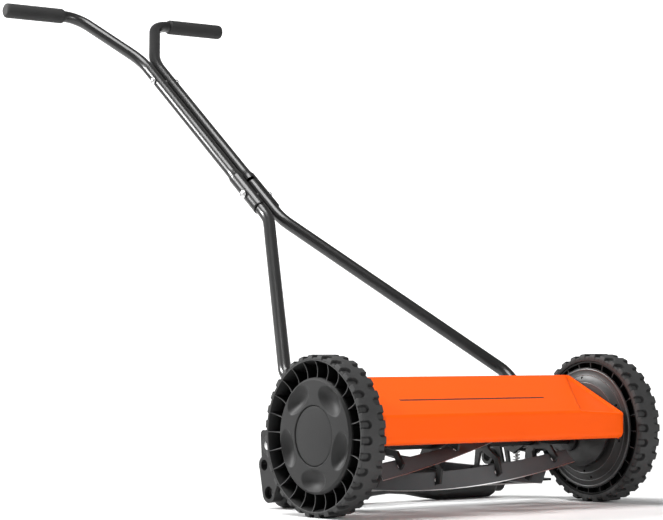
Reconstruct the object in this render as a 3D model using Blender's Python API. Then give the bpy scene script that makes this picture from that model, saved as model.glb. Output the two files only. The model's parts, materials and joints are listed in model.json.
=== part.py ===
"""Push reel mower with two geared ground wheels, a five-blade reel, a spring-held
cutter bar, a rear roller and a two-part T handle.

Metres, +Z up. The front is towards -Y, the handle rises towards +Y, and the ground is
z = 0. "left" is +X and "right" is -X, as for the person who pushes. The origin lies on
the ground under the middle of the whole mower.

Every body hangs on an empty that sits on its joint's axis. Pieces on the frame are
drawn from the wheel axle: y to the rear, z up, both zero on the axle's centre line.
"""

from math import acos, atan2, cos, degrees, pi, radians, sin, tan

import bmesh
import bpy
from mathutils import Matrix, Vector

MM = 0.001
SIDES = {"left": 1, "right": -1}
GAP = 0.3 * MM

# Wheels
WHEEL_RADIUS = 125 * MM
TYRE_FLATS = 40
RIM_STEPS = 28
AXLE_RADIUS = 8 * MM

# Side plates
PLATE_IN_X = 252 * MM
PLATE_OUT_X = 258 * MM
PLATE_DISC = 64 * MM
TIE_ROD = (150 * MM, -8 * MM)
COVER_SCREW = (-75 * MM, 5 * MM)

# Holes through each gear shield: (y, z) from the axle
SHIELD_HOLES = [(8.5, 84.5), (-73, 39.3), (-80, -19.5), (-13, -82.4), (-43, -41.6), (-0.4, -72.4)]

# Reel and its drive
REEL_Y, REEL_Z = 26 * MM, -19.5 * MM
REEL_RADIUS = 75 * MM
REEL_HALF = 200 * MM
BLADES = 5
BLADE_TWIST = radians(-222)  # per metre of width
BLADE_START = radians(179.4)
BLADE_INNER = (46 * MM, -8 * MM)  # radius, and how far the inner edge lags
BLADE_THICK = 3 * MM
SPIDER_X = (-165 * MM, -55 * MM, 55 * MM, 165 * MM)
SHAFT_RADIUS = 8 * MM
JOURNAL_RADIUS = 6 * MM
MODULE = 2.5 * MM
RING_TEETH, PINION_TEETH = 40, 14
MESH_ANGLE = atan2(REEL_Z, REEL_Y)

# Cutter bar
BAR_PIVOT = (110 * MM, -36 * MM)
KNIFE_ANGLE = radians(20)
ADJUSTER_X, ADJUSTER_Y = 236 * MM, 140 * MM

# Cover
COVER_HALF = 257 * MM
COVER_FRONT_Y = -100 * MM
COVER_FOLD_Z = 32 * MM
COVER_REAR = (33 * MM, 90 * MM)
COVER_BOTTOM_Z = -14 * MM
COVER_CREASE_X = (157 * MM, 249 * MM)  # at the fold and at the rear edge
COVER_DROP = 5.5 * MM  # how far the left front corner is bent down
SHEET = 1.8 * MM

# Rear roller
ROLLER_Y = 202 * MM
ROLLER_RADIUS = 25.5 * MM
ROLLER_Z = ROLLER_RADIUS - WHEEL_RADIUS
ROLLER_TRAVEL = 40 * MM
SLIDE_LEAN = radians(15)  # the brackets slide up and back at this angle from upright
CLAMP = (193 * MM, -22 * MM)

# Handle, drawn in its own plane: x across, y up along the handle from the pivot
HANDLE_PIVOT = (102 * MM, 38.3 * MM)
HANDLE_TILT = radians(38.1)
TUBE_RADIUS = 11 * MM
TUBE_WALL = 1.5 * MM
TUBE_SPLIT = 14 * MM  # half the distance between the two tubes of the shaft
LOWER_SPREAD = 239.5 * MM
JUNCTION = 608.7 * MM
FLARE_BOLT = 988.6 * MM
GRIP_LINE = 1209 * MM
GRIP_RADIUS = 14.5 * MM
GRIP_IN_X, GRIP_OUT_X = 124 * MM, 253.5 * MM

GRIP_Y = HANDLE_PIVOT[0] + GRIP_LINE * cos(HANDLE_TILT)
AXLE_Y = -(GRIP_Y + GRIP_RADIUS - WHEEL_RADIUS) / 2


# ---------------------------------------------------------------- materials


def material(name, colour, roughness, metallic=0.0):
    made = bpy.data.materials.new(name)
    made.use_nodes = True
    shader = made.node_tree.nodes["Principled BSDF"]
    shader.inputs["Base Color"].default_value = (*colour, 1)
    shader.inputs["Roughness"].default_value = roughness
    shader.inputs["Metallic"].default_value = metallic
    made.diffuse_color = (*colour, 1)
    return made


def make_materials():
    return {
        "wheel": material("wheel_plastic", (0.035, 0.035, 0.036), 0.6),
        "tyre": material("tread", (0.045, 0.045, 0.046), 0.75),
        "black": material("black_plastic", (0.008, 0.008, 0.009), 0.45),
        "paint": material("black_paint", (0.03, 0.03, 0.032), 0.35),
        "orange": material("orange_paint", (1.0, 0.1, 0.006), 0.35),
        "tube": material("tube_enamel", (0.045, 0.046, 0.048), 0.3),
        "foam": material("grip_rubber", (0.012, 0.012, 0.014), 0.85),
        "zinc": material("zinc", (0.6, 0.61, 0.62), 0.35, 1.0),
        "steel": material("blade_steel", (0.09, 0.09, 0.092), 0.45, 0.3),
    }


# ---------------------------------------------------------------- outlines


def arc(centre, radius, start_deg, end_deg, steps):
    """Points on a circle, anticlockwise from start to end, both ends included."""
    turn = [radians(start_deg + (end_deg - start_deg) * i / steps) for i in range(steps + 1)]
    return [(centre[0] + radius * cos(a), centre[1] + radius * sin(a)) for a in turn]


def circle(centre, radius, steps=20):
    return arc(centre, radius, 0, 360 - 360 / steps, steps - 1)


def stadium(low, high, radius):
    """A slot with round ends, from the centre low to the centre high."""
    lean = degrees(atan2(high[0] - low[0], high[1] - low[1]))
    lower = arc(low, radius, 180 - lean, 360 - lean, 6)
    return lower + arc(high, radius, -lean, 180 - lean, 6)


def involute(angle):
    return tan(angle) - angle


def gear_outline(teeth, low_radius, high_radius, widen, flank_steps):
    """Outline of an involute gear with a tooth on the line where the gears mesh. A
    tooth's half angle at radius r is half a tooth pitch at the pitch circle, plus the
    involute of the pressure angle less that of the angle whose cosine is base radius
    over r. widen is added to each flank, in metres at the pitch circle."""
    pitch = MODULE * teeth / 2
    pressure = radians(20)
    base = pitch * cos(pressure)
    start = max(base, low_radius)
    radii = [start + (high_radius - start) * i / flank_steps for i in range(flank_steps + 1)]
    half = [
        pi / (2 * teeth) + widen / pitch + involute(pressure) - involute(acos(base / max(r, base)))
        for r in radii
    ]
    if low_radius < base:
        radii.insert(0, low_radius)
        half.insert(0, half[0])
    points = []
    for tooth in range(teeth):
        middle = MESH_ANGLE + 2 * pi * tooth / teeth
        rise = [(r, middle - a) for r, a in zip(radii, half)]
        fall = [(r, middle + a) for r, a in zip(radii, half)]
        points += [(r * cos(a), r * sin(a)) for r, a in rise + fall[::-1]]
    return points


def rounded_path(corners, radii):
    """The corners joined by straight lines, each inner corner rounded to its radius."""
    points = [Vector(corners[0])]
    for i, radius in enumerate(radii, start=1):
        before, here, after = (Vector(corners[j]) for j in (i - 1, i, i + 1))
        back = (before - here).normalized()
        ahead = (after - here).normalized()
        bend = back.angle(ahead)
        reach = radius / tan(bend / 2)
        middle = here + (back + ahead).normalized() * radius / sin(bend / 2)
        first = here + back * reach - middle
        last = here + ahead * reach - middle
        sweep = first.angle(last)
        steps = max(2, round(sweep / radians(15)))
        for step in range(steps + 1):
            part = step / steps
            weight_first = sin((1 - part) * sweep) / sin(sweep)
            weight_last = sin(part * sweep) / sin(sweep)
            points.append(middle + first * weight_first + last * weight_last)
    points.append(Vector(corners[-1]))
    return points


# ---------------------------------------------------------------- solids


def revolve(profile, segments, flat_down=False):
    """Turn a profile of (x, radius) points about the X axis. Its ends are joined, or
    closed at a pole where they lie on the axis. flat_down puts a flat facet, at the
    true radius, straight down."""
    bm = bmesh.new()
    shift = 0.5 if flat_down else 0.0
    grow = 1 / cos(pi / segments) if flat_down else 1.0
    rings = []
    for x, radius in profile:
        if radius == 0:
            rings.append([bm.verts.new((x, 0, 0))] * segments)
            continue
        turn = [2 * pi * (i + shift) / segments for i in range(segments)]
        rings.append([bm.verts.new((x, radius * grow * cos(a), radius * grow * sin(a))) for a in turn])
    pairs = list(zip(rings, rings[1:]))
    if profile[0][1] > 0:
        pairs.append((rings[-1], rings[0]))
    for one, two in pairs:
        for i in range(segments):
            j = (i + 1) % segments
            corners = dict.fromkeys((one[i], one[j], two[j], two[i]))
            if len(corners) > 2:
                bm.faces.new(corners)
    return bm


def slab(outline, holes, x_from, x_to):
    """Extrude an outline of (y, z) points, with holes, from one x to the other."""
    bm = bmesh.new()
    edges = []
    for loop in [outline, *holes]:
        verts = [bm.verts.new((x_from, y, z)) for y, z in loop]
        edges += [bm.edges.new((a, b)) for a, b in zip(verts, verts[1:] + verts[:1])]
    bmesh.ops.triangle_fill(bm, use_beauty=True, edges=edges)
    made = bmesh.ops.extrude_face_region(bm, geom=bm.faces[:], use_keep_orig=True)
    moved = [v for v in made["geom"] if isinstance(v, bmesh.types.BMVert)]
    bmesh.ops.translate(bm, verts=moved, vec=(x_to - x_from, 0, 0))
    return bm


def brick(x, y, z):
    """A box between the two values given for each axis."""
    return slab([(y[0], z[0]), (y[1], z[0]), (y[1], z[1]), (y[0], z[1])], [], *x)


def pipe(path, radii, wall, sides):
    """A hollow tube along a path, open at both ends, with an outer radius per point."""
    bm = bmesh.new()
    rings = {0.0: [], wall: []}
    normal = Vector((0, 0, 1))
    for i, (point, radius) in enumerate(zip(path, radii)):
        ahead = path[min(i + 1, len(path) - 1)] - path[max(i - 1, 0)]
        tangent = ahead.normalized()
        normal = (normal - tangent * normal.dot(tangent)).normalized()
        across = tangent.cross(normal)
        for inset, made in rings.items():
            turn = [2 * pi * (k + 0.5) / sides for k in range(sides)]
            made.append(
                [
                    bm.verts.new(point + (normal * cos(a) + across * sin(a)) * (radius - inset))
                    for a in turn
                ]
            )
    loops = rings[0.0] + rings[wall][::-1]
    for one, two in zip(loops, loops[1:] + loops[:1]):
        for k in range(sides):
            m = (k + 1) % sides
            bm.faces.new((one[k], one[m], two[m], two[k]))
    return bm


def lathe_bolt(head, shank, nut, head_radius, shank_radius, nut_radius=None):
    """A bolt along X with its nut: each of head and nut is a pair of x values."""
    nut_radius = nut_radius or head_radius
    profile = [(head[0], 0), (head[0], head_radius), (head[1], head_radius)]
    profile += [(head[1], shank_radius), (shank, shank_radius)]
    if nut:
        profile[-1] = (nut[0], shank_radius)
        profile += [(nut[0], nut_radius), (nut[1], nut_radius), (nut[1], 0)]
    else:
        profile.append((shank, 0))
    return revolve(profile, 10)


# ---------------------------------------------------------------- objects


def empty(name, location, parent=None, tilt=0.0):
    made = bpy.data.objects.new(name, None)
    made.empty_display_size = 0.05
    made.parent = parent
    made.location = location
    made.rotation_euler.x = tilt
    bpy.context.scene.collection.objects.link(made)
    return made


def shape(name, bm, finish, parent, location=(0, 0, 0)):
    """Close the bmesh into a named object under its body's empty."""
    bmesh.ops.recalc_face_normals(bm, faces=bm.faces[:])
    mesh = bpy.data.meshes.new(name)
    bm.to_mesh(mesh)
    bm.free()
    mesh.shade_smooth()
    mesh.set_sharp_from_angle(angle=radians(35))
    if finish:
        mesh.materials.append(finish)
    made = bpy.data.objects.new(name, mesh)
    made.parent = parent
    made.location = location
    bpy.context.scene.collection.objects.link(made)
    return made


def combine(target, bm, operation, location=(0, 0, 0)):
    """Join a helper solid to the object, or cut it away."""
    helper = shape(f"{target.name}_{operation.lower()}", bm, None, target.parent, location)
    helper.display_type = "WIRE"
    helper.hide_render = True
    modifier = target.modifiers.new(operation.lower(), "BOOLEAN")
    modifier.operation = operation
    modifier.solver = "EXACT"
    modifier.object = helper


def join(target, bm, location=(0, 0, 0)):
    combine(target, bm, "UNION", location)


def cut(target, bm, location=(0, 0, 0)):
    combine(target, bm, "DIFFERENCE", location)


# ---------------------------------------------------------------- frame


def plate_outline():
    """A disc round the axle and the reel's bearing, with a lug in front for the cover's
    screw, and an arm to the rear that carries the cutter bar's pivot, the roller clamp,
    the handle's stop and the handle's pivot."""
    return (
        arc((0, 0), PLATE_DISC, 75, 160, 8)
        + arc(COVER_SCREW, 9 * MM, 115, 245, 6)
        + arc((0, 0), PLATE_DISC, 200, 325, 12)
        + arc((BAR_PIVOT[0] + 2 * MM, BAR_PIVOT[1]), 12 * MM, 215, 285, 4)
        + arc(CLAMP, 17 * MM, -85, 80, 8)
        + arc(stop_centre(), 9 * MM, 20, 100, 4)
        + arc(HANDLE_PIVOT, 19 * MM, 85, 120, 3)
    )


def stop_centre():
    """The stop pin lies under the lower tube, 30 mm up from the handle's pivot."""
    along, below = 30 * MM, TUBE_RADIUS + 4.5 * MM + GAP
    return (
        HANDLE_PIVOT[0] + along * cos(HANDLE_TILT) + below * sin(HANDLE_TILT),
        HANDLE_PIVOT[1] + along * sin(HANDLE_TILT) - below * cos(HANDLE_TILT),
    )


def make_side_plate(side, name, frame, look):
    holes = [
        circle((0, 0), AXLE_RADIUS + GAP, 16),
        circle((REEL_Y, REEL_Z), 16.1 * MM, 20),
        circle(HANDLE_PIVOT, 4.7 * MM, 10),
        circle(BAR_PIVOT, 4.6 * MM, 10),
        circle(CLAMP, 4.6 * MM, 10),
        circle(TIE_ROD, 5.6 * MM, 10),
        circle(COVER_SCREW, 2.9 * MM, 8),
    ]
    x_in, x_out = side * PLATE_IN_X, side * PLATE_OUT_X
    plate = shape(f"side_plate_{name}", slab(plate_outline(), holes, x_in, x_out), look["paint"], frame)
    root = side * (PLATE_IN_X + 2 * MM)
    pin = slab(circle(stop_centre(), 4.5 * MM, 12), [], side * 229 * MM, root)
    join(plate, pin)
    tab = brick((side * 227 * MM, root), (129 * MM, 151 * MM), (-42 * MM, -38 * MM))
    join(plate, tab)
    cut(plate, slab_up(circle((side * ADJUSTER_X, ADJUSTER_Y), 3.4 * MM, 12), -43 * MM, -37 * MM))


def slab_up(outline, z_from, z_to):
    """Extrude an outline of (x, y) points upwards."""
    bm = slab(outline, [], z_from, z_to)
    swap = Matrix(((0, 1, 0, 0), (0, 0, 1, 0), (1, 0, 0, 0), (0, 0, 0, 1)))
    bmesh.ops.transform(bm, matrix=swap, verts=bm.verts[:])
    return bm


def make_gear_shield(side, name, frame, look):
    """A dished disc that keeps grass out of the wheel's gear, with a boss in the middle
    that stands on the side plate."""
    boss = [(258.4, 8.6), (258.4, 17), (261.6, 17)]
    outer = [(261.6, 78), (263.3, 80), (267.2, 88.6), (268.4, 94.8), (268.6, 102)]
    inner = [(270.4, 102), (270.2, 94.4), (269, 87.9), (265.1, 79.2), (263.4, 77)]
    profile = [*boss, *outer, *inner, (263.4, 8.6)]
    solid = revolve([(side * x * MM, r * MM) for x, r in profile], RIM_STEPS)
    shield = shape(f"gear_shield_{name}", solid, look["black"], frame)
    through = (side * 255 * MM, side * 275 * MM)
    cut(shield, slab(circle((REEL_Y, REEL_Z), 7.6 * MM, 16), [], *through))
    for y, z in SHIELD_HOLES:
        cut(shield, slab(circle((y * MM, z * MM), 2.2 * MM, 8), [], *through))


def make_axle(side, name, frame, look):
    groove, groove_end, tip = 304.4, 306.6, 308.6
    profile = [(246, 0), (246, 12), (251.7, 12), (251.7, 8), (groove, 8), (groove, 6.4)]
    profile += [(groove_end, 6.4), (groove_end, 8), (tip, 8), (tip, 0)]
    solid = revolve([(side * x * MM, r * MM) for x, r in profile], 16)
    shape(f"axle_{name}", solid, look["zinc"], frame)
    clip = [(304.7, 6.8), (306.3, 6.8), (306.3, 12.5), (304.7, 12.5)]
    solid = revolve([(side * x * MM, r * MM) for x, r in clip], 16)
    shape(f"wheel_clip_{name}", solid, look["zinc"], frame)


def make_reel_bearing(side, name, frame, look):
    profile = [(247.2, 6.5), (258, 6.5), (258, 15.7), (251.7, 15.7), (251.7, 20), (247.2, 20)]
    solid = revolve([(side * x * MM, r * MM) for x, r in profile], 20)
    shape(f"reel_bearing_{name}", solid, look["zinc"], frame, (0, REEL_Y, REEL_Z))


def make_rear_tie_rod(frame, look):
    half = [(0.0, 7), (251.7, 7), (251.7, 5), (258.4, 5), (258.4, 9), (263.4, 9), (263.4, 0)]
    mirrored = [(-x, r) for x, r in half[:0:-1]]
    profile = [(x * MM, r * MM) for x, r in mirrored + half[1:]]
    shape("rear_tie_rod", revolve(profile, 10), look["paint"], frame, (0, *TIE_ROD))


def cover_section():
    """The sheet's path from its bottom lip, up the front and back over the reel."""
    corners = [
        (0, -84 * MM, COVER_BOTTOM_Z),
        (0, COVER_FRONT_Y, COVER_BOTTOM_Z),
        (0, COVER_FRONT_Y, COVER_FOLD_Z),
        (0, *COVER_REAR),
        (0, COVER_REAR[0] + 4 * MM, COVER_REAR[1] - 11 * MM),
    ]
    return rounded_path(corners, [4 * MM, 7 * MM, 2.5 * MM])


def cover_row(point):
    """Three points across the sheet: the left edge, the crease and the right edge. Left
    of the crease the sheet is bent down, most at the front corner."""
    back = (point.y - COVER_FRONT_Y) / (COVER_REAR[0] - COVER_FRONT_Y)
    low, high = COVER_CREASE_X
    crease = low + (high - low) * min(max(back, 0.0), 1.0)
    beyond = (COVER_HALF - crease) / (COVER_HALF - low)
    drop = COVER_DROP * beyond * min(max(point.z / COVER_FOLD_Z, 0.0), 1.0)
    left = (COVER_HALF, point.y, point.z - drop)
    return [left, (crease, point.y, point.z), (-COVER_HALF, point.y, point.z)]


def make_cover(frame, look):
    bm = bmesh.new()
    rows = [[bm.verts.new(place) for place in cover_row(point)] for point in cover_section()]
    for one, two in zip(rows, rows[1:]):
        for k in range(2):
            bm.faces.new((one[k], one[k + 1], two[k + 1], two[k]))
    mesh = bpy.data.meshes.new("reel_cover")
    bm.normal_update()
    if bm.faces[:][0].normal.z > 0:
        bmesh.ops.reverse_faces(bm, faces=bm.faces[:])
    bm.to_mesh(mesh)
    bm.free()
    mesh.materials.append(look["orange"])
    cover = bpy.data.objects.new("reel_cover", mesh)
    cover.parent = frame
    bpy.context.scene.collection.objects.link(cover)
    sheet = cover.modifiers.new("sheet", "SOLIDIFY")
    sheet.thickness = SHEET
    sheet.offset = -1
    sheet.use_even_offset = True
    for side in SIDES.values():
        flange_x = (side * 246.4 * MM, side * 248.4 * MM)
        join(cover, brick(flange_x, (-99 * MM, -62 * MM), (-10 * MM, 22 * MM)))
        hole = slab(circle(COVER_SCREW, 2.9 * MM, 8), [], side * 244 * MM, side * 250 * MM)
        cut(cover, hole)


def make_frame_fasteners(side, name, frame, look):
    screw = lathe_bolt((side * 241 * MM, side * 246.1 * MM), side * 257.7 * MM, None, 4.5 * MM, 2.4 * MM)
    shape(f"cover_screw_{name}", screw, look["zinc"], frame, (0, *COVER_SCREW))

    steps = [(234, 0), (234, 7), (239.6, 7), (239.6, 4), (246.4, 4), (246.4, 7), (251.6, 7)]
    steps += [(251.6, 4), (258.4, 4), (258.4, 7), (263.4, 7), (263.4, 0)]
    pivot = revolve([(side * x * MM, r * MM) for x, r in steps], 10)
    shape(f"bar_pivot_bolt_{name}", pivot, look["zinc"], frame, (0, *BAR_PIVOT))

    head = (side * 222.6 * MM, side * 228.1 * MM)
    nut = (side * 258.4 * MM, side * 264.4 * MM)
    bolt = lathe_bolt(head, 0, nut, 8 * MM, 4.2 * MM)
    shape(f"handle_pivot_bolt_{name}", bolt, look["zinc"], frame, (0, *HANDLE_PIVOT))

    knob = (side * 234 * MM, side * 245.5 * MM)
    head = (side * 258.4 * MM, side * 263 * MM)
    clamp = lathe_bolt(knob, 0, head, 12 * MM, 4 * MM, 8 * MM)
    shape(f"height_clamp_{name}", clamp, look["zinc"], frame, (0, *CLAMP))

    top, tab, tip = -32.5 * MM, -37.7 * MM, -80 * MM
    profile = [(top, 0), (top, 6.5 * MM), (tab, 6.5 * MM), (tab, 3 * MM), (tip, 3 * MM), (tip, 0)]
    screw = revolve(profile, 12)
    upright = Matrix.Rotation(-pi / 2, 4, "Y")
    bmesh.ops.transform(screw, matrix=upright, verts=screw.verts[:])
    place = (side * ADJUSTER_X, ADJUSTER_Y, 0)
    shape(f"adjuster_screw_{name}", screw, look["zinc"], frame, place)
    shape(f"adjuster_spring_{name}", coil_spring(-66.4 * MM, -43.6 * MM), look["zinc"], frame, place)


def coil_spring(low, high):
    """A helix of square wire round a vertical axis."""
    turns, per_turn, radius, wire = 4, 8, 5.6 * MM, 1.0 * MM
    bm = bmesh.new()
    rings = []
    for i in range(turns * per_turn + 1):
        angle = 2 * pi * i / per_turn
        out = Vector((cos(angle), sin(angle), 0))
        centre = out * radius + Vector((0, 0, low + (high - low) * i / (turns * per_turn)))
        ring = [(out * cos(a) + Vector((0, 0, sin(a)))) * wire for a in (0.8, 2.4, 3.9, 5.5)]
        rings.append([bm.verts.new(centre + offset) for offset in ring])
    for one, two in zip(rings, rings[1:]):
        for k in range(4):
            bm.faces.new((one[k], one[k - 1], two[k - 1], two[k]))
    bm.faces.new(rings[0])
    bm.faces.new(rings[-1])
    return bm


# ---------------------------------------------------------------- wheels


def make_wheel(side, name, axle, look):
    tread = [(272, 113.3), (316.5, 113.3), (317, 117.7), (313.5, 123.4), (310, 125)]
    tread += [(279, 125), (274, 122.5), (271.5, 118)]
    solid = revolve([(side * x * MM, r * MM) for x, r in tread], TYRE_FLATS, flat_down=True)
    shape(f"tyre_{name}", solid, look["tyre"], axle)

    rim = [(288, 8.6), (304, 8.6), (304, 13), (291, 13), (291, 86.5), (309, 86.5)]
    rim += [(309, 90), (291, 90), (291, 112.7), (276, 112.7), (276, 109.5), (288, 109.5)]
    solid = revolve([(side * x * MM, r * MM) for x, r in rim], RIM_STEPS)
    wheel = shape(f"wheel_rim_{name}", solid, look["wheel"], axle)
    pitch = MODULE * RING_TEETH / 2
    teeth = gear_outline(RING_TEETH, pitch - 2.2 * MM, pitch + 3.2 * MM, 0.2 * MM, 1)
    ring = slab(circle((0, 0), 59 * MM, RIM_STEPS), [teeth], side * 272.5 * MM, side * 289 * MM)
    join(wheel, ring)

    cap = [(309.6, 47), (309.6, 88), (312.5, 89.6), (316, 85), (316.3, 47)]
    solid = revolve([(side * x * MM, r * MM) for x, r in cap], RIM_STEPS)
    shape(f"hub_cap_{name}", solid, look["wheel"], axle)
    cap = [(309.8, 0), (309.8, 46), (315, 46), (317, 38), (317, 0)]
    solid = revolve([(side * x * MM, r * MM) for x, r in cap], RIM_STEPS)
    shape(f"centre_cap_{name}", solid, look["wheel"], axle)


def make_pinion(side, name, reel_axis, look):
    """A pinion that runs free on the shaft, with ratchet notches for the drive pawl."""
    pitch = MODULE * PINION_TEETH / 2
    teeth = gear_outline(PINION_TEETH, pitch - 3.1 * MM, pitch + 2.0 * MM, -0.2 * MM, 1)
    bore = circle((0, 0), JOURNAL_RADIUS + 0.6 * MM, 14)
    solid = slab(teeth, [bore], side * 273 * MM, side * 285 * MM)
    pinion = shape(f"pinion_{name}", solid, look["zinc"], reel_axis)
    notches = []
    for tooth in range(6):
        start = 2 * pi * tooth / 6
        for part, radius in ((0.0, 10.5), (0.35, 11.0), (0.7, 12.2)):
            angle = start + side * part * 2 * pi / 6
            notches.append((radius * MM * cos(angle), radius * MM * sin(angle)))
        angle = start + side * 0.78 * 2 * pi / 6
        notches.append((10.5 * MM * cos(angle), 10.5 * MM * sin(angle)))
    if side < 0:
        notches.sort(key=lambda point: atan2(point[1], point[0]))
    cut(pinion, slab(notches, [], side * 272 * MM, side * 281.4 * MM))


# ---------------------------------------------------------------- reel


def blade_angle(blade, x):
    return BLADE_START + 2 * pi * blade / BLADES + BLADE_TWIST * x


def turned(radial, tangent, angle):
    """(y, z) of a point given outwards along the angle and forwards round the circle."""
    return (
        radial * cos(angle) - tangent * sin(angle),
        radial * sin(angle) + tangent * cos(angle),
    )


def make_blade(blade, reel, look):
    """A steel strip on a helix: its ground outer edge leads, its inner edge lags."""
    slope = BLADE_INNER[1] / (BLADE_INNER[0] - REEL_RADIUS)
    face = Vector((1, slope)).normalized()
    thick = Vector((-face.y, face.x)) * BLADE_THICK
    outer = Vector((REEL_RADIUS, 0))
    inner = Vector(BLADE_INNER)
    bevel = outer - face * 4 * MM + thick
    section = [outer, outer + thick * 0.25 - face * 0.4 * MM, bevel, inner + thick, inner]
    stations = 18
    bm = bmesh.new()
    rings = []
    for i in range(stations + 1):
        x = REEL_HALF * (2 * i / stations - 1)
        angle = blade_angle(blade, x)
        rings.append([bm.verts.new((x, *turned(p.x, p.y, angle))) for p in section])
    count = len(section)
    for one, two in zip(rings, rings[1:]):
        for k in range(count):
            bm.faces.new((one[k], one[k - 1], two[k - 1], two[k]))
    bm.faces.new(rings[0])
    bm.faces.new(rings[-1])
    shape(f"blade_{blade + 1}", bm, look["steel"], reel)


def make_spider(number, x, reel, look):
    """A five-armed plate on the shaft: each arm lies along the rear of its blade."""
    half = 2.5 * MM
    arm = [(14, 7), (40, -11), (66, -3.8), (66, -15), (42, -22), (17, -9)]
    outline = []
    for blade in range(BLADES):
        angle = blade_angle(blade, x)
        outline += [turned(r * MM, t * MM, angle) for r, t in arm[::-1]]
    solid = slab(outline, [circle((0, 0), SHAFT_RADIUS + GAP, 16)], x - half, x + half)
    shape(f"spider_{number}", solid, look["paint"], reel)


def make_reel(reel, look):
    tip, shoulder = 285.5, 246.6
    profile = [(-tip, 0), (-tip, 6), (-shoulder, 6), (-shoulder, 8), (shoulder, 8)]
    profile += [(shoulder, 6), (tip, 6), (tip, 0)]
    solid = revolve([(x * MM, r * MM) for x, r in profile], 16)
    shaft = shape("reel_shaft", solid, look["zinc"], reel)
    for name, side in SIDES.items():
        slot_x = (side * 273.6 * MM, side * 280.6 * MM)
        cut(shaft, brick(slot_x, (-8 * MM, 8 * MM), (-1.8 * MM, 1.8 * MM)))
        pawl_x = (side * 274 * MM, side * 280.2 * MM)
        pawl = brick(pawl_x, (-9.4 * MM, 9.4 * MM), (-1.5 * MM, 1.5 * MM))
        shape(f"drive_pawl_{name}", pawl, look["zinc"], reel)
    for number, x in enumerate(SPIDER_X, start=1):
        make_spider(number, x, reel, look)
    for blade in range(BLADES):
        make_blade(blade, reel, look)


# ---------------------------------------------------------------- cutter bar


def make_cutter_bar(bar, look):
    """An angle bar on two ears. It swings on the ears' pivot bolts, and the ears' rear
    feet stand on the adjuster springs. Drawn from the pivot."""

    def from_pivot(points):
        return [(y * MM - BAR_PIVOT[0], z * MM - BAR_PIVOT[1]) for y, z in points]

    section = [(64, -90.9), (104, -90.9), (104, -62), (100.5, -62), (100.5, -86.8), (64, -86.8)]
    half = 246 * MM
    body = shape("cutter_bar", slab(from_pivot(section), [], -half, half), look["paint"], bar)
    ear = [(92, -90.9), (104, -90.9), (122, -72), (151, -72), (151, -68), (124, -66), (121, -30)]
    ear += [(116, -25), (104, -25), (99, -30), (99, -62), (94, -84)]
    for side in SIDES.values():
        hole = circle((0, 0), 4.5 * MM, 12)
        join(body, slab(from_pivot(ear), [hole], side * 240 * MM, side * 246 * MM))
        y = (129 * MM - BAR_PIVOT[0], 151 * MM - BAR_PIVOT[0])
        z = (-72 * MM - BAR_PIVOT[1], -68 * MM - BAR_PIVOT[1])
        join(body, brick((side * 227 * MM, side * 241 * MM), y, z))
        eye = circle((side * ADJUSTER_X, ADJUSTER_Y - BAR_PIVOT[0]), 4.2 * MM, 12)
        cut(body, slab_up(eye, z[0] - 4 * MM, z[1] + 4 * MM))

    lip = REEL_RADIUS + 0.6 * MM
    tip_y = (REEL_Y + lip * sin(KNIFE_ANGLE)) / MM
    tip_z = (REEL_Z - lip * cos(KNIFE_ANGLE)) / MM
    knife = [(tip_y, tip_z), (tip_y + 2, tip_z - 3), (92, -94.4), (92, -91.3), (tip_y + 4, -91.3)]
    solid = slab(from_pivot(knife), [], -198 * MM, 198 * MM)
    shape("bed_knife", solid, look["steel"], bar)


# ---------------------------------------------------------------- rear roller


def bracket_outline():
    """A plate round the two bosses and the slot, with a thumb tab at the top."""
    return (
        arc((ROLLER_Y, ROLLER_Z), 16.5 * MM, 180, 355, 10)
        + arc((214 * MM, -55 * MM), 14.5 * MM, -30, 60, 6)
        + arc((216 * MM, -6 * MM), 8 * MM, -10, 100, 5)
        + arc((190 * MM, -7 * MM), 9 * MM, 90, 165, 5)
        + [(170 * MM, -66 * MM), (174 * MM, -78 * MM)]
    )


def make_roller_carriage(carriage, look):
    """Two slotted brackets and the rod between them. Drawn from the roller's axis."""

    def from_axis(points):
        return [(y - ROLLER_Y, z - ROLLER_Z) for y, z in points]

    rod_hole = circle((ROLLER_Y, ROLLER_Z), 6.5 * MM, 12)
    slot_end_y = CLAMP[0] - ROLLER_TRAVEL * sin(SLIDE_LEAN)
    slot_end_z = CLAMP[1] - ROLLER_TRAVEL * cos(SLIDE_LEAN)
    slot = stadium((slot_end_y, slot_end_z), CLAMP, 4.6 * MM)
    upper = (214 * MM, -55 * MM)
    for name, side in SIDES.items():
        x_in, x_out = side * 246 * MM, side * 251.4 * MM
        upper_hole = circle(upper, 9 * MM, 12)
        solid = slab(from_axis(bracket_outline()), [from_axis(slot)], x_in, x_out)
        bracket = shape(f"roller_bracket_{name}", solid, look["black"], carriage)
        boss_x = (side * 234 * MM, side * 251 * MM)
        join(bracket, slab(from_axis(circle((ROLLER_Y, ROLLER_Z), 16.2 * MM, 18)), [], *boss_x))
        join(bracket, slab(from_axis(circle(upper, 14.2 * MM, 18)), [], *boss_x))
        through = (side * 230 * MM, side * 255 * MM)
        cut(bracket, slab(from_axis(rod_hole), [], *through))
        cut(bracket, slab(from_axis(upper_hole), [], *through))
        mouth = circle((ROLLER_Y, ROLLER_Z), 10.5 * MM, 16)
        cut(bracket, slab(from_axis(mouth), [], side * 243 * MM, side * 255 * MM))
    end = 242.5 * MM
    rod = revolve([(-end, 0), (-end, 6 * MM), (end, 6 * MM), (end, 0)], 12)
    shape("roller_rod", rod, look["zinc"], carriage)


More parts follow.
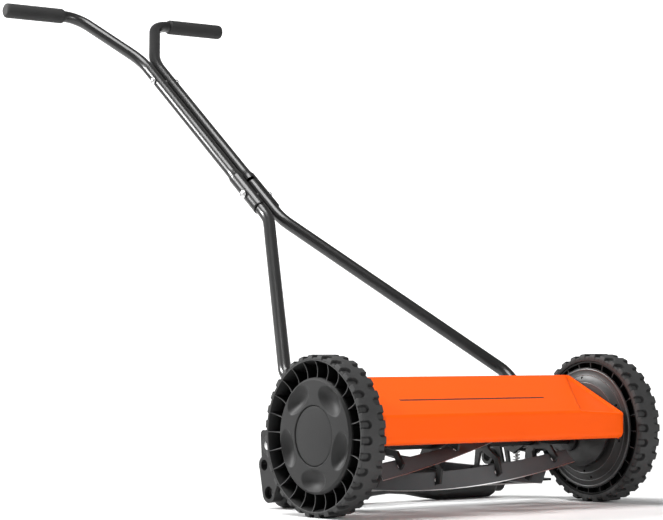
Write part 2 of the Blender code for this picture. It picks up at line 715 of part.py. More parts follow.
def make_roller(roller, look):
    """A waisted plastic roller that runs on the rod."""
    half = [(0, 11.5), (35, 14), (70, 20.5), (105, 25.5), (221, 25.5), (229, 22), (232, 16), (232, 6.6)]
    mirrored = [(-x, r) for x, r in half[:0:-1]]
    profile = [(x * MM, r * MM) for x, r in mirrored + half]
    shape("rear_roller", revolve(profile, 24, flat_down=True), look["black"], roller)


# ---------------------------------------------------------------- handle


def even_radii(path):
    return [TUBE_RADIUS] * len(path)


def cross_hole(target, side, along, radius=3.6 * MM):
    """A hole for a bolt along X, through one tube of the handle."""
    reach = (side * 1 * MM, side * 40 * MM)
    hole = slab(circle((along, 0), radius, 12), [], *reach)
    cut(target, hole)


def make_lower_tube(side, name, handle, look):
    corners = [
        (side * LOWER_SPREAD, -15 * MM, 0),
        (side * LOWER_SPREAD, 91 * MM, 0),
        (side * TUBE_SPLIT, 535 * MM, 0),
        (side * TUBE_SPLIT, 645 * MM, 0),
    ]
    path = rounded_path(corners, [50 * MM, 75 * MM])
    solid = pipe(path, even_radii(path), TUBE_WALL, 10)
    tube = shape(f"lower_tube_{name}", solid, look["tube"], handle)
    pivot = slab(circle((0, 0), 4.7 * MM, 12), [], side * 225 * MM, side * 255 * MM)
    cut(tube, pivot)
    cross_hole(tube, side, JUNCTION)


def make_upper_tube(side, name, handle, look):
    """The tube's foot flares into a half sleeve that lies round the lower tube."""
    corners = [
        (side * TUBE_SPLIT, 652 * MM, 0),
        (side * TUBE_SPLIT, 1060 * MM, 0),
        (side * 96.5 * MM, GRIP_LINE, 0),
        (side * 246.5 * MM, GRIP_LINE, 0),
    ]
    path = rounded_path(corners, [110 * MM, 42 * MM])
    foot = [path[0], path[0] + Vector((0, 8 * MM, 0)), path[0] + Vector((0, 24 * MM, 0))]
    path = foot + path[1:]
    radii = [12.6 * MM, 12.6 * MM] + [TUBE_RADIUS] * (len(path) - 2)
    solid = pipe(path, radii, TUBE_WALL, 10)
    tube = shape(f"upper_tube_{name}", solid, look["tube"], handle)
    face = 0 if side > 0 else 180
    centre = (side * TUBE_SPLIT, 0)
    outside = arc(centre, 13.4 * MM, face - 96, face + 96, 14)
    inside = arc(centre, 11.4 * MM, face - 96, face + 96, 14)
    sleeve = slab_up(outside + inside[::-1], 566 * MM, 664 * MM)
    along = Matrix(((1, 0, 0, 0), (0, 0, 1, 0), (0, -1, 0, 0), (0, 0, 0, 1)))
    bmesh.ops.transform(sleeve, matrix=along, verts=sleeve.verts[:])
    join(tube, sleeve)
    cross_hole(tube, side, JUNCTION)
    cross_hole(tube, side, FLARE_BOLT)


def make_grip(side, name, handle, look):
    bore, end = 11.4 * MM, 247 * MM
    profile = [(GRIP_OUT_X, 0), (GRIP_OUT_X, 7 * MM), (GRIP_OUT_X - 2 * MM, 12 * MM)]
    profile += [(GRIP_OUT_X - 6 * MM, GRIP_RADIUS), (GRIP_IN_X + 4 * MM, GRIP_RADIUS)]
    profile += [(GRIP_IN_X, 13.3 * MM), (GRIP_IN_X, bore), (end, bore), (end, 0)]
    solid = revolve([(side * x, r) for x, r in profile], 16)
    shape(f"grip_{name}", solid, look["foam"], handle, (0, GRIP_LINE, 0))


def make_handle_bolts(handle, look):
    junction = lathe_bolt((-33 * MM, -27.8 * MM), 0, (27.8 * MM, 33 * MM), 8 * MM, 3.1 * MM)
    shape("junction_bolt", junction, look["zinc"], handle, (0, JUNCTION, 0))
    flare = lathe_bolt((-30.4 * MM, -25.4 * MM), 0, (25.4 * MM, 30.4 * MM), 7 * MM, 3.1 * MM)
    shape("flare_bolt", flare, look["zinc"], handle, (0, FLARE_BOLT, 0))


# ---------------------------------------------------------------- assembly


def main():
    for old in list(bpy.data.objects):
        bpy.data.objects.remove(old, do_unlink=True)
    look = make_materials()
    frame = empty("frame_axis", (0, AXLE_Y, WHEEL_RADIUS))
    reel = empty("reel_axis", (0, REEL_Y, REEL_Z), frame)
    bar = empty("bar_axis", (0, *BAR_PIVOT), frame)
    carriage = empty("carriage_axis", (0, ROLLER_Y, ROLLER_Z), frame)
    roller = empty("roller_axis", (0, 0, 0), carriage)
    handle = empty("handle_axis", (0, *HANDLE_PIVOT), frame, tilt=HANDLE_TILT)

    make_rear_tie_rod(frame, look)
    make_cover(frame, look)
    make_reel(reel, look)
    make_cutter_bar(bar, look)
    make_roller_carriage(carriage, look)
    make_roller(roller, look)
    make_handle_bolts(handle, look)
    for name, side in SIDES.items():
        make_side_plate(side, name, frame, look)
        make_gear_shield(side, name, frame, look)
        make_axle(side, name, frame, look)
        make_reel_bearing(side, name, frame, look)
        make_frame_fasteners(side, name, frame, look)
        wheel = empty(f"wheel_axis_{name}", (0, 0, 0), frame)
        make_wheel(side, name, wheel, look)
        pinion = empty(f"pinion_axis_{name}", (0, REEL_Y, REEL_Z), frame)
        make_pinion(side, name, pinion, look)
        make_lower_tube(side, name, handle, look)
        make_upper_tube(side, name, handle, look)
        make_grip(side, name, handle, look)


main()
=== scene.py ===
# %% [markdown]
# # Dressing a push reel mower
# The frame is a finished assembly: every piece has its true place and rides on a moving
# body. Here each piece that shows gets its real surface: block tread, ribbed wheels, a
# pressed orange cover, ground blades, enamelled tubes and foam grips. All lengths are
# written in millimetres and turned into metres as a mesh is made.

import json

import bmesh
import bpy
import numpy as np
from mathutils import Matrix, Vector

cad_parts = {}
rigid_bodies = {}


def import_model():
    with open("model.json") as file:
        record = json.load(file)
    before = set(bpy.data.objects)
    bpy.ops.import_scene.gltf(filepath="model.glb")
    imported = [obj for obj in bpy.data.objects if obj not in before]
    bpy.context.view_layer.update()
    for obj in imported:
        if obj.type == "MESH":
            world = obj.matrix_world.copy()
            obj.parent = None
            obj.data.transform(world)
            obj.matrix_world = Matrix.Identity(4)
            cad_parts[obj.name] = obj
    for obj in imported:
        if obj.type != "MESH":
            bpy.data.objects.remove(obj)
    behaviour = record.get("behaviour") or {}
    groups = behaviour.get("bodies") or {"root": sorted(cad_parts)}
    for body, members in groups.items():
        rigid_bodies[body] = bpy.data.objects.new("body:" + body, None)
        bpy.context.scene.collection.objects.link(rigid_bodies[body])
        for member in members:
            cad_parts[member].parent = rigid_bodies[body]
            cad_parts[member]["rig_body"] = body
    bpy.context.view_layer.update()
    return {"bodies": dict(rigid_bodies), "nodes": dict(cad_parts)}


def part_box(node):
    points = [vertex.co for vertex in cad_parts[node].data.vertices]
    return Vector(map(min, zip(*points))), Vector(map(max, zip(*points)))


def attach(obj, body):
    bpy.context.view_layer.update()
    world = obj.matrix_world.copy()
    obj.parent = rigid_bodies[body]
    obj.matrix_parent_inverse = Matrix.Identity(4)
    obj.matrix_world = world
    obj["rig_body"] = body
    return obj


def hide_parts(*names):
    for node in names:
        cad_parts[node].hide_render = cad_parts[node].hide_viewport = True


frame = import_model()
MM = 0.001
SIDES = {"left": 1, "right": -1}
print("bodies:", ", ".join(frame["bodies"]))

# %% [markdown]
# Each axis is read from a round piece of the frame, as the middle of its box, so every
# piece below sits on the axis that it turns round. Sizes measured out from an axis are
# this script's own and follow the frame's solids.

# %% Find the axes


def middle(node):
    """The (y, z) of the middle of a frame piece, in metres."""
    low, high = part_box(node)
    return np.array([(low.y + high.y) / 2, (low.z + high.z) / 2])


AXLE = middle("wheel_rim_left")
REEL = middle("reel_bearing_left")
KNIFE_PIVOT = middle("bar_pivot_bolt_left")
ROLLER = middle("roller_rod")
HANDLE = middle("handle_pivot_bolt_left")
CLAMP = middle("height_clamp_left")
HANDLE_TILT = np.radians(38.1)
print("axle", AXLE, "reel", REEL, "roller", ROLLER, "handle", HANDLE)

# %% [markdown]
# A surface here is a grid of points. Two parameters run over it, such as the angle round
# an axle and the place along a profile, and the whole grid is one array. The alternatives
# are modelling by hand or stacking modifiers, but a formula is short and exact, and it
# can be made finer by changing one number.

# %% Turn grids of points into a mesh


def quads(grid_shape, wrap_rows, wrap_columns, first):
    """Corner numbers of a grid's faces: each joins a point to its next column and row."""
    index = np.arange(grid_shape[0] * grid_shape[1]).reshape(grid_shape) + first
    if wrap_rows:
        index = np.vstack([index, index[:1]])
    if wrap_columns:
        index = np.hstack([index, index[:, :1]])
    corners = [index[:-1, :-1], index[:-1, 1:], index[1:, 1:], index[1:, :-1]]
    return np.stack(corners, -1).reshape(-1, 4)


class Sheets:
    """Collects grids of points, in millimetres, for one mesh."""

    def __init__(self):
        self.points, self.faces, self.marks, self.count = [], [], [], 0

    def add(self, grid, wrap_rows=False, wrap_columns=False, mark=0.0):
        """Adds a grid of shape (rows, columns, 3). mark is a number for each point."""
        shape = grid.shape[:2]
        self.faces.append(quads(shape, wrap_rows, wrap_columns, self.count))
        self.points.append(grid.reshape(-1, 3))
        self.marks.append(np.broadcast_to(mark, shape).reshape(-1))
        self.count += shape[0] * shape[1]
        return self


def finish_piece(piece, body, paint, stands_for):
    """Gives a mesh object its paint, its body and the frame pieces that it stands for."""
    piece.data.materials.clear()
    piece.data.materials.append(paint)
    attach(piece, body)
    if stands_for:
        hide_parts(*stands_for)
    print(f"{piece.name}: {len(piece.data.polygons)} faces on {body}")
    return piece


def build(name, sheets, centre, body, paint, stands_for=(), crease=38):
    """One closed mesh from sheets. centre is the (y, z) in metres that the points are
    measured from. Doubled points are merged, which also closes poles, and the faces are
    turned outwards. An edge sharper than crease, in degrees, stays crisp."""
    points = np.concatenate(sheets.points) * MM + [0, centre[0], centre[1]]
    mesh = bpy.data.meshes.new(name)
    mesh.from_pydata(points.tolist(), [], np.concatenate(sheets.faces).tolist())
    mark = mesh.attributes.new("mark", "FLOAT", "POINT")
    mark.data.foreach_set("value", np.concatenate(sheets.marks).astype(np.float32))
    bm = bmesh.new()
    bm.from_mesh(mesh)
    bmesh.ops.remove_doubles(bm, verts=bm.verts[:], dist=1e-6)
    bmesh.ops.recalc_face_normals(bm, faces=bm.faces[:])
    bm.to_mesh(mesh)
    bm.free()
    mesh.shade_smooth()
    mesh.set_sharp_from_angle(angle=np.radians(crease))
    piece = bpy.data.objects.new(name, mesh)
    bpy.context.scene.collection.objects.link(piece)
    return finish_piece(piece, body, paint, stands_for)


# %% [markdown]
# Two ways of sweeping make almost every piece. A profile is turned round an axis, or a
# section is carried along a path. Corners of a profile or a path are rounded first with
# true arcs, because a real edge always catches a thin line of light.

# %% Round corners, turn profiles, carry sections


def unit(vectors):
    return vectors / np.linalg.norm(vectors, axis=-1, keepdims=True)


def rounded(corners, radii, steps=6, closed=False):
    """The corners as a line with each one replaced by an arc. An arc's point is its
    middle plus a blend of the two end spokes, weighted by sines of the angle left."""
    corners = np.asarray(corners, float)
    count = len(corners)
    radii = np.broadcast_to(radii, count)
    line = []
    for i, here in enumerate(corners):
        if radii[i] == 0 or (not closed and i in (0, count - 1)):
            line.append(here[None])
            continue
        back = unit(corners[i - 1] - here)
        ahead = unit(corners[(i + 1) % count] - here)
        half = np.arccos(np.clip(back @ ahead, -1, 1)) / 2
        hub = here + unit(back + ahead) * radii[i] / np.sin(half)
        reach = radii[i] / np.tan(half)
        first, last = here + back * reach - hub, here + ahead * reach - hub
        sweep = np.pi - 2 * half
        t = np.linspace(0, 1, steps + 1)[:, None]
        spoke = first * np.sin((1 - t) * sweep) + last * np.sin(t * sweep)
        line.append(hub + spoke / np.sin(sweep))
    return np.concatenate(line)


def turned(profile, steps=96, side=1):
    """A profile of (x, radius) turned about the X axis: y is the radius times the cosine
    of the angle, and z the radius times its sine."""
    profile = np.asarray(profile, float)
    angle = np.linspace(0, 2 * np.pi, steps, endpoint=False)[:, None]
    x = np.broadcast_to(side * profile[:, 0], (steps, len(profile)))
    return np.stack([x, profile[:, 1] * np.cos(angle), profile[:, 1] * np.sin(angle)], -1)


def add_turned(sheets, profile, steps=96, side=1, offset=(0, 0), radius=0.6, mark=0.0):
    """Adds a closed ring, or a solid whose profile starts and ends on the axis."""
    profile = np.asarray(profile, float)
    solid = profile[0, 1] == 0
    line = rounded(profile, radius, 4, closed=not solid)
    grid = turned(line, steps, side) + [0, *offset]
    return sheets.add(grid, wrap_rows=True, wrap_columns=not solid, mark=mark)


def carried(path, section, up):
    """A section of (out, up) offsets carried along a path. out is at right angles to the
    path and to up, which is known at each point, so the section never twists."""
    tangent = unit(np.gradient(path, axis=0))
    up = unit(np.broadcast_to(up, path.shape) - 0.0)
    out = unit(np.cross(tangent, up))
    section = np.asarray(section, float)
    return path[:, None] + section[..., :1] * out[:, None] + section[..., 1:] * up[:, None]


def along(line, count):
    """Points at even steps along a line."""
    walked = np.append(0, np.cumsum(np.linalg.norm(np.diff(line, axis=0), axis=1)))
    steps = np.linspace(0, walked[-1], count)
    return np.stack([np.interp(steps, walked, line[:, k]) for k in range(line.shape[1])], -1)


def capped(grid):
    """The grid with its first and last rows closed to their middle points."""
    ends = np.broadcast_to(grid.mean(1, keepdims=True), grid.shape)
    return np.concatenate([ends[:1], grid, ends[-1:]])


def ring(radius, count=24):
    angle = np.linspace(0, 2 * np.pi, count, endpoint=False)
    return np.stack([radius * np.cos(angle), radius * np.sin(angle)], -1)


# %% [markdown]
# ## Finishes
# A finish is a node tree. Writing it as arithmetic keeps it readable: a small class
# wraps one socket and gives it plus, minus, times and the rest, and each of them adds a
# Math node. The other choice, wiring nodes by hand, hides what the pattern does.

# %% Arithmetic on sockets


class Value:
    """A number that varies over a surface."""

    def __init__(self, paint, socket):
        self.paint, self.socket = paint, socket

    def __add__(self, other):
        return self.paint.math("ADD", self, other)

    def __sub__(self, other):
        return self.paint.math("SUBTRACT", self, other)

    def __rsub__(self, other):
        return self.paint.math("SUBTRACT", other, self)

    def __mul__(self, other):
        return self.paint.math("MULTIPLY", self, other)

    __radd__, __rmul__ = __add__, __mul__


class Paint:
    """A material under way. node() adds any node: its settings first, then its inputs."""

    def __init__(self, name, **numbers):
        self.material = bpy.data.materials.new(name)
        self.material.use_nodes = True
        self.tree = self.material.node_tree
        self.shader = self.tree.nodes["Principled BSDF"]
        for key, number in numbers.items():
            self.feed(key.replace("_", " "), number)
        self.where = self.node("ShaderNodeTexCoord", out="Object")

    def join(self, socket, value):
        if isinstance(value, Value):
            self.tree.links.new(value.socket, socket)
        else:
            socket.default_value = value

    def node(self, kind, settings=None, inputs=None, out=0):
        made = self.tree.nodes.new(kind)
        for key, value in (settings or {}).items():
            setattr(made, key, value)
        for key, value in (inputs or {}).items():
            self.join(made.inputs[key], value)
        return Value(self, made.outputs[out])

    def math(self, operation, *values):
        return self.node("ShaderNodeMath", {"operation": operation}, dict(enumerate(values)))

    def feed(self, name, value):
        titles = {n.name.lower(): n.name for n in self.shader.inputs}
        self.join(self.shader.inputs[titles[name.lower()]], value)
        return self

    def noise(self, scale, detail=3.0, stretch=(1, 1, 1)):
        """Cloudy noise around 0.5, with a feature about every 1 / scale metres."""
        place = self.node(
            "ShaderNodeVectorMath", {"operation": "MULTIPLY"}, {0: self.where, 1: stretch}
        )
        inputs = {"Vector": place, "Scale": scale, "Detail": detail}
        return self.node("ShaderNodeTexNoise", None, inputs)

    def part(self, axis):
        """One coordinate of the place on the object, in metres."""
        return self.node("ShaderNodeSeparateXYZ", None, {0: self.where}, out=axis)

    def mark(self):
        """The number that the mesh carries at each point."""
        return self.node("ShaderNodeAttribute", {"attribute_name": "mark"}, out="Fac")

    def step(self, value, low, high):
        """0 below low, 1 above high, and a smooth rise between them."""
        settings = {"interpolation_type": "SMOOTHSTEP"}
        inputs = {"Value": value, "From Min": low, "From Max": high}
        return self.node("ShaderNodeMapRange", settings, inputs)

    def mix(self, factor, one, two):
        """A colour that goes from one to two as factor goes from 0 to 1."""
        settings = {"data_type": "RGBA"}
        names = {0: factor, 6: one, 7: two}
        return self.node("ShaderNodeMix", settings, names, out=2)

    def bump(self, height, depth, strength=1.0):
        """Raises the surface by height times depth, in metres, without moving it."""
        inputs = {"Height": height, "Distance": depth, "Strength": strength}
        return self.feed("Normal", self.node("ShaderNodeBump", None, inputs))


def grey(level, warm=0.0):
    return (level * (1 + warm), level, level * (1 - warm), 1)


# %% [markdown]
# The cover is powder-coated sheet. Powder melts into a glossy skin with a faint orange
# peel, so the colour stays almost even while the bump and the gloss wander a little. A
# thin printed line runs across the top face.

# %% Orange powder coat
STRIPE = {"x": (-0.1845, 0.122), "z": 0.1790, "half": 0.0012}


def orange_coat():
    paint = Paint("orange_powder_coat", specular_ior_level=0.12)
    cloud, peel = paint.noise(9), paint.noise(420, 2)
    base = paint.mix(cloud, (0.96, 0.098, 0.003, 1), (1.0, 0.112, 0.004, 1))
    x, z = paint.part("X"), paint.part("Z")
    ends = paint.step(x, STRIPE["x"][0] - 0.0004, STRIPE["x"][0])
    ends = ends * (1 - paint.step(x, STRIPE["x"][1], STRIPE["x"][1] + 0.0004))
    off = paint.math("ABSOLUTE", z - STRIPE["z"])
    line = (1 - paint.step(off, STRIPE["half"] * 0.7, STRIPE["half"])) * ends
    paint.feed("Base Color", paint.mix(line, base, (0.12, 0.035, 0.022, 1)))
    paint.feed("Roughness", 0.3 + 0.1 * cloud + 0.06 * peel)
    paint.bump(peel + 0.3 * paint.noise(1500, 1), 0.00005, 0.5)
    return paint.material


# %% [markdown]
# The wheels are moulded dark grey plastic with a fine spark-eroded texture. The ribbed
# channel is deep, and its plastic is painted almost black there as painted shade; only the
# front edges of its ribs and the lip are left a lighter grey, a painted highlight. The mark
# says which points those are.

# %% Wheel plastic and tread


def wheel_plastic(name, level, painted_shade_by_mark=False):
    paint = Paint(name, specular_ior_level=0.3)
    cloud, grain = paint.noise(35, 4), paint.noise(2200, 2)
    tone = paint.mix(cloud, grey(level * 0.86), grey(level * 1.12))
    # Painted shade and highlight: points with a low mark turn near black, and points with a high
    # mark keep the lighter grey.
    if painted_shade_by_mark:
        tone = paint.mix(paint.step(paint.mark(), 0.3, 0.8), grey(0.002), tone)
    paint.feed("Base Color", tone)
    paint.feed("Roughness", 0.46 + 0.14 * cloud + 0.05 * grain)
    paint.bump(grain + 0.6 * paint.noise(700, 2), 0.00009, 0.55)
    return paint.material


def tread_rubber():
    paint = Paint("moulded_tread_painted_pocket_shade")
    cloud, grain = paint.noise(28, 5), paint.noise(1400, 3)
    # The mark is high on the pockets' walls and round ends and darkens the rubber almost to black
    # there: painted shade in the pockets.
    hollow = paint.mark()
    tone = paint.mix(cloud, grey(0.022), grey(0.036))
    tone = paint.mix(hollow * 0.95, tone, grey(0.002))
    paint.feed("Base Color", tone)
    paint.feed("Roughness", 0.6 + 0.16 * cloud + 0.08 * grain)
    paint.bump(grain + 0.8 * paint.noise(420, 2), 0.00016, 0.6)
    return paint.material


# %% [markdown]
# Frame parts wear black stove enamel, and tubes a dark grey one with a little metal in
# it. Bright parts are zinc plated. Zinc grows as faint crystals, and tumbling leaves
# fine scratches, so its gloss varies more than its colour.

# %% Enamels, zinc and steel


def enamel(name, level, rough, coat, metal=0.0):
    paint = Paint(name, coat_weight=coat, coat_roughness=0.12, metallic=metal)
    cloud, peel = paint.noise(14, 3), paint.noise(520, 2)
    paint.feed("Base Color", paint.mix(cloud, grey(level * 0.85), grey(level * 1.15)))
    paint.feed("Roughness", rough + 0.12 * cloud)
    paint.bump(peel + 0.35 * paint.noise(1900, 1), 0.00006, 0.5)
    return paint.material


def zinc_plate():
    paint = Paint("zinc_plate", metallic=1.0)
    crystal = paint.node("ShaderNodeTexVoronoi", None, {"Vector": paint.where, "Scale": 420.0})
    scratch = paint.noise(260, 4, (1, 9, 1))
    paint.feed("Base Color", paint.mix(paint.noise(60), grey(0.56, 0.01), grey(0.74, -0.01)))
    paint.feed("Roughness", 0.2 + 0.16 * scratch + 0.08 * crystal)
    paint.bump(scratch + 0.4 * crystal, 0.00003, 0.6)
    return paint.material


def blade_steel():
    """Dark enamelled steel. Where the mark is 1 the edge is ground bright, with the fine
    lines that the grinding wheel leaves along the blade."""
    paint = Paint("blade_steel", coat_weight=0.1)
    ground, cloud = paint.step(paint.mark(), 0.35, 0.65), paint.noise(26, 4)
    lines = paint.noise(40, 5, (1, 60, 60))
    dark = paint.mix(cloud, grey(0.062, -0.04), grey(0.088, -0.04))
    bright = paint.mix(lines, grey(0.42), grey(0.8))
    paint.feed("Base Color", paint.mix(ground, dark, bright))
    paint.feed("Metallic", 0.1 + 0.9 * ground)
    paint.feed("Roughness", 0.5 - 0.16 * ground + 0.1 * cloud)
    paint.bump(lines * 0.4 + paint.noise(600, 2), 0.00006, 0.5)
    return paint.material


# %% [markdown]
# Black moulded plastic makes the shields, brackets and roller. The grips are closed-cell
# foam rubber, where burst cells leave a skin of small pits.

# %% Black plastic and foam


def black_plastic(name, level, rough=0.42):
    paint = Paint(name)
    cloud, grain = paint.noise(30, 4), paint.noise(1700, 2)
    paint.feed("Base Color", paint.mix(cloud, grey(level * 0.8), grey(level * 1.25)))
    paint.feed("Roughness", rough + 0.14 * cloud + 0.05 * grain)
    paint.bump(grain, 0.00007, 0.5)
    return paint.material


def grip_foam():
    paint = Paint("grip_foam")
    cells = paint.node("ShaderNodeTexVoronoi", None, {"Vector": paint.where, "Scale": 900.0})
    streak = paint.noise(30, 4, (0.15, 1, 1))
    paint.feed("Base Color", paint.mix(streak, grey(0.006), grey(0.014)))
    paint.feed("Roughness", 0.62 + 0.2 * streak)
    paint.bump(cells + 0.5 * paint.noise(500, 2), 0.00022, 0.55)
    return paint.material


# %% Mix the paints
ORANGE = orange_coat()
WHEEL = wheel_plastic("wheel_plastic", 0.020)
CHANNEL = wheel_plastic("wheel_channel_painted_shade_and_highlight", 0.075, painted_shade_by_mark=True)
TREAD = tread_rubber()
FRAME_PAINT = enamel("black_stove_enamel", 0.009, 0.34, 0.1)
TUBE = enamel("graphite_tube_enamel", 0.014, 0.24, 0.2, metal=0.2)
ZINC = zinc_plate()
DARK_STEEL = enamel("oiled_dark_steel", 0.02, 0.36, 0.0, metal=0.4)
STEEL = blade_steel()
BLACK = black_plastic("black_plastic", 0.006)
SHIELD = black_plastic("shield_plastic", 0.014, 0.34)
FOAM = grip_foam()
# The bead rings are painted far lighter than the shield plastic: a painted highlight.
BEAD = enamel("painted_highlight_bead", 0.09, 0.26, 0.2, metal=0.3)
print("paints:", len(bpy.data.materials))

# %% [markdown]
# ## Wheels
# The tread is a ring of shallow pockets, 32 to an edge, open at the side and round at the
# end. Cutting them one by one would be slow, so the tread is a height field: a pocket is
# the set of points nearer than its half width to a short line that runs in from the edge.

# %% Tread
TYRE = {"in": 271.5, "out": 317.0, "radius": 125.0, "pockets": 32, "depth": 4.4}
POCKET = {"length": 16.0, "half": 5.9, "wall": 1.5}
TURN = {"left": 4.6, "right": 1.7}  # where the pattern starts, in degrees


def smooth(t):
    """0 below 0, 1 above 1, and 3t^2 - 2t^3 between."""
    t = np.clip(t, 0, 1)
    return t * t * (3 - 2 * t)


def pocket_depth(angle, x, start):
    """How far a point lies in a pocket, in wall widths. The distance from the pocket's
    middle line is the root of the squares of the arc beside it and the length past its
    end."""
    pitch = 2 * np.pi / TYRE["pockets"]
    deepest = np.full(np.broadcast(angle, x).shape, -9.0)
    for inward, shift in ((TYRE["out"] - x, 0.0), (x - TYRE["in"], 0.5)):
        turn = (angle - start) / pitch - shift
        arc = (turn - np.round(turn)) * pitch * TYRE["radius"]
        past = np.maximum(inward - POCKET["length"] + POCKET["half"], 0)
        inside = POCKET["half"] - np.hypot(arc, past)
        deepest = np.maximum(deepest, inside / POCKET["wall"] + 0.5)
    return deepest


def make_tyre(name, side):
    """A profile turned round the axle whose outer points sink by the pocket's depth."""
    outer = np.stack([np.linspace(275.5, 313, 44), np.full(44, TYRE["radius"])], -1)
    low = rounded([(272, 114), (271.7, 119.6), (273, 125), (275.4, 125)], 2.2, 5)
    high = rounded([(313.1, 125), (315.6, 125), (316.9, 119.4), (316.9, 117.7)], 2.2, 5)
    inner = [(299, 113.4), (272.6, 113.2)]
    line = np.concatenate([low, outer, high, inner])
    angle = np.linspace(0, 2 * np.pi, 1024, endpoint=False)[:, None]
    sunk = pocket_depth(angle, line[:, 0], np.radians(TURN[name]))
    depth = TYRE["depth"] * smooth(sunk)
    radius = np.maximum(line[:, 1] - depth, np.minimum(line[:, 1], 118.9))
    x = np.broadcast_to(side * line[:, 0], radius.shape)
    grid = np.stack([x, radius * np.cos(angle), radius * np.sin(angle)], -1)
    # This mark peaks on each pocket's walls and round end; the tread paint turns it near black as
    # painted shade.
    wall = smooth(1.5 - np.abs(sunk - 1.0)) * (line[:, 1] > 119)
    sheets = Sheets().add(grid, True, True, mark=wall)
    build(f"block_tyre_{name}", sheets, AXLE, f"wheel_{name}", TREAD, [f"tyre_{name}"])


for name, side in SIDES.items():
    make_tyre(name, side)

# %% [markdown]
# The rim is one moulding: a hub, a web, a drum under the cap, and a band under the tyre.
# Twenty-four thin ribs tie drum and band together, each scooped out along its front edge.
# The ring gear that drives the reel is moulded on the inner side.

# %% Rim with ribs and ring gear
RIBS = 24


def involute(angle):
    return np.tan(angle) - angle


def ring_gear(teeth=40, module=2.5, backlash=0.2, steps=4):
    """(radius, angle) round an internal gear. A gap's half angle at a radius is half a
    gap's pitch, plus the involute of the pressure angle, less that of the angle whose
    cosine is base radius over radius."""
    pitch, pressure = module * teeth / 2, np.radians(20)
    base = pitch * np.cos(pressure)
    radii = np.linspace(max(base, pitch - 2.2), pitch + 3.2, steps)
    half = np.pi / (2 * teeth) + backlash / pitch
    half = half + involute(pressure) - involute(np.arccos(base / radii))
    mesh_angle = np.arctan2(REEL[1] - AXLE[1], REEL[0] - AXLE[0])
    tooth = mesh_angle + 2 * np.pi * np.arange(teeth)[:, None] / teeth
    angle = np.concatenate([tooth - half, (tooth + half)[:, ::-1]], 1)
    radius = np.broadcast_to(np.concatenate([radii, radii[::-1]]), angle.shape)
    return radius.reshape(-1), angle.reshape(-1)


def add_fin(sheets, side, turn, radii, back, front, thick):
    """A thin radial fin. back and front are its x at each radius."""
    half = thick / 2
    across = np.array([-half, half, half, 0.5 * half, -0.5 * half, -half])
    x = np.stack([back, back, front - 0.4, front, front, front - 0.4], -1)
    y = radii[:, None] * np.cos(turn) - across * np.sin(turn)
    z = radii[:, None] * np.sin(turn) + across * np.cos(turn)
    grid = np.stack([side * x, y, z], -1)
    # Front edge points get mark 1 and stay lighter grey as a painted highlight; the rest get 0 and
    # turn near black as painted shade.
    painted_light_mark = np.array([0, 0, 0.3, 1, 1, 0.3])
    sheets.add(capped(grid), wrap_columns=True, mark=painted_light_mark)


def make_rim(name, side):
    sheets = Sheets()
    add_turned(sheets, [(288, 8.6), (304, 8.6), (304, 13), (288, 13)], 64, side, radius=0.4)
    add_turned(sheets, [(288, 12), (291, 12), (291, 112), (288, 112)], 160, side, radius=0.2)
    add_turned(sheets, [(289, 86.6), (309.2, 86.6), (309.2, 90), (289, 90)], 160, side, radius=0.5)
    band = [(274, 109.6), (274, 112.8), (299, 112.9), (315.4, 117.0), (315.8, 115.9), (299, 110.4)]
    add_turned(sheets, band, 192, side, radius=0.4)
    # The lip carries mark 1, so it stays lighter grey as a painted highlight.
    lip = [(315.3, 116.1), (315.3, 117.3), (316.8, 117.4), (316.8, 116.4)]
    add_turned(sheets, lip, 192, side, radius=0.3, mark=1.0)
    radius, angle = ring_gear()
    teeth = np.stack([radius * np.cos(angle), radius * np.sin(angle)], -1)
    outer = np.stack([60 * np.cos(angle), 60 * np.sin(angle)], -1)
    loops = [(272.5, teeth), (289, teeth), (289, outer), (272.5, outer)]
    grid = np.stack([np.column_stack([np.full(len(p), side * x), p]) for x, p in loops], 1)
    sheets.add(grid, True, True)
    t = np.linspace(0, 1, 12)
    front = 311.2 + 5.0 * t - 13.6 * t * (1 - t)
    start = np.radians(TURN["right"])
    for turn in start + 2 * np.pi * np.arange(RIBS) / RIBS:
        add_fin(sheets, side, turn, 89.0 + 27.5 * t, np.full(12, 290.5), front, 1.7)
        add_fin(sheets, side, turn, 61.0 + 50.0 * t, 288.5 + 0 * t, 274.6 + 5 * (1 - t), 1.8)
    stands_for = [f"wheel_rim_{name}"]
    build(f"ribbed_rim_{name}", sheets, AXLE, f"wheel_{name}", CHANNEL, stands_for)


for name, side in SIDES.items():
    make_rim(name, side)

# %% [markdown]
# The hub cap carries five shallow oval scoops. Each is a paraboloid cut: its depth is one
# minus the square of the distance from its middle, counted in half lengths along the
# circle and half widths across it. The centre cap is a low dome behind a narrow groove.

# %% Hub cap and centre cap
SCOOP = {"count": 5, "radius": 68.5, "half_length": 30.5, "half_width": 18.0, "depth": 11.0}
SCOOP_SOFT = 0.05  # how gently a scoop's rim blends into the flat


def scoop_depth(angle, radius):
    pitch = 2 * np.pi / SCOOP["count"]
    turn = (angle - np.radians(270)) / pitch
    arc = (turn - np.round(turn)) * pitch * SCOOP["radius"]
    inside = 1 - (arc / SCOOP["half_length"]) ** 2
    inside = inside - ((radius - SCOOP["radius"]) / SCOOP["half_width"]) ** 2
    return SCOOP["depth"] * (inside + np.hypot(inside, SCOOP_SOFT)) / 2


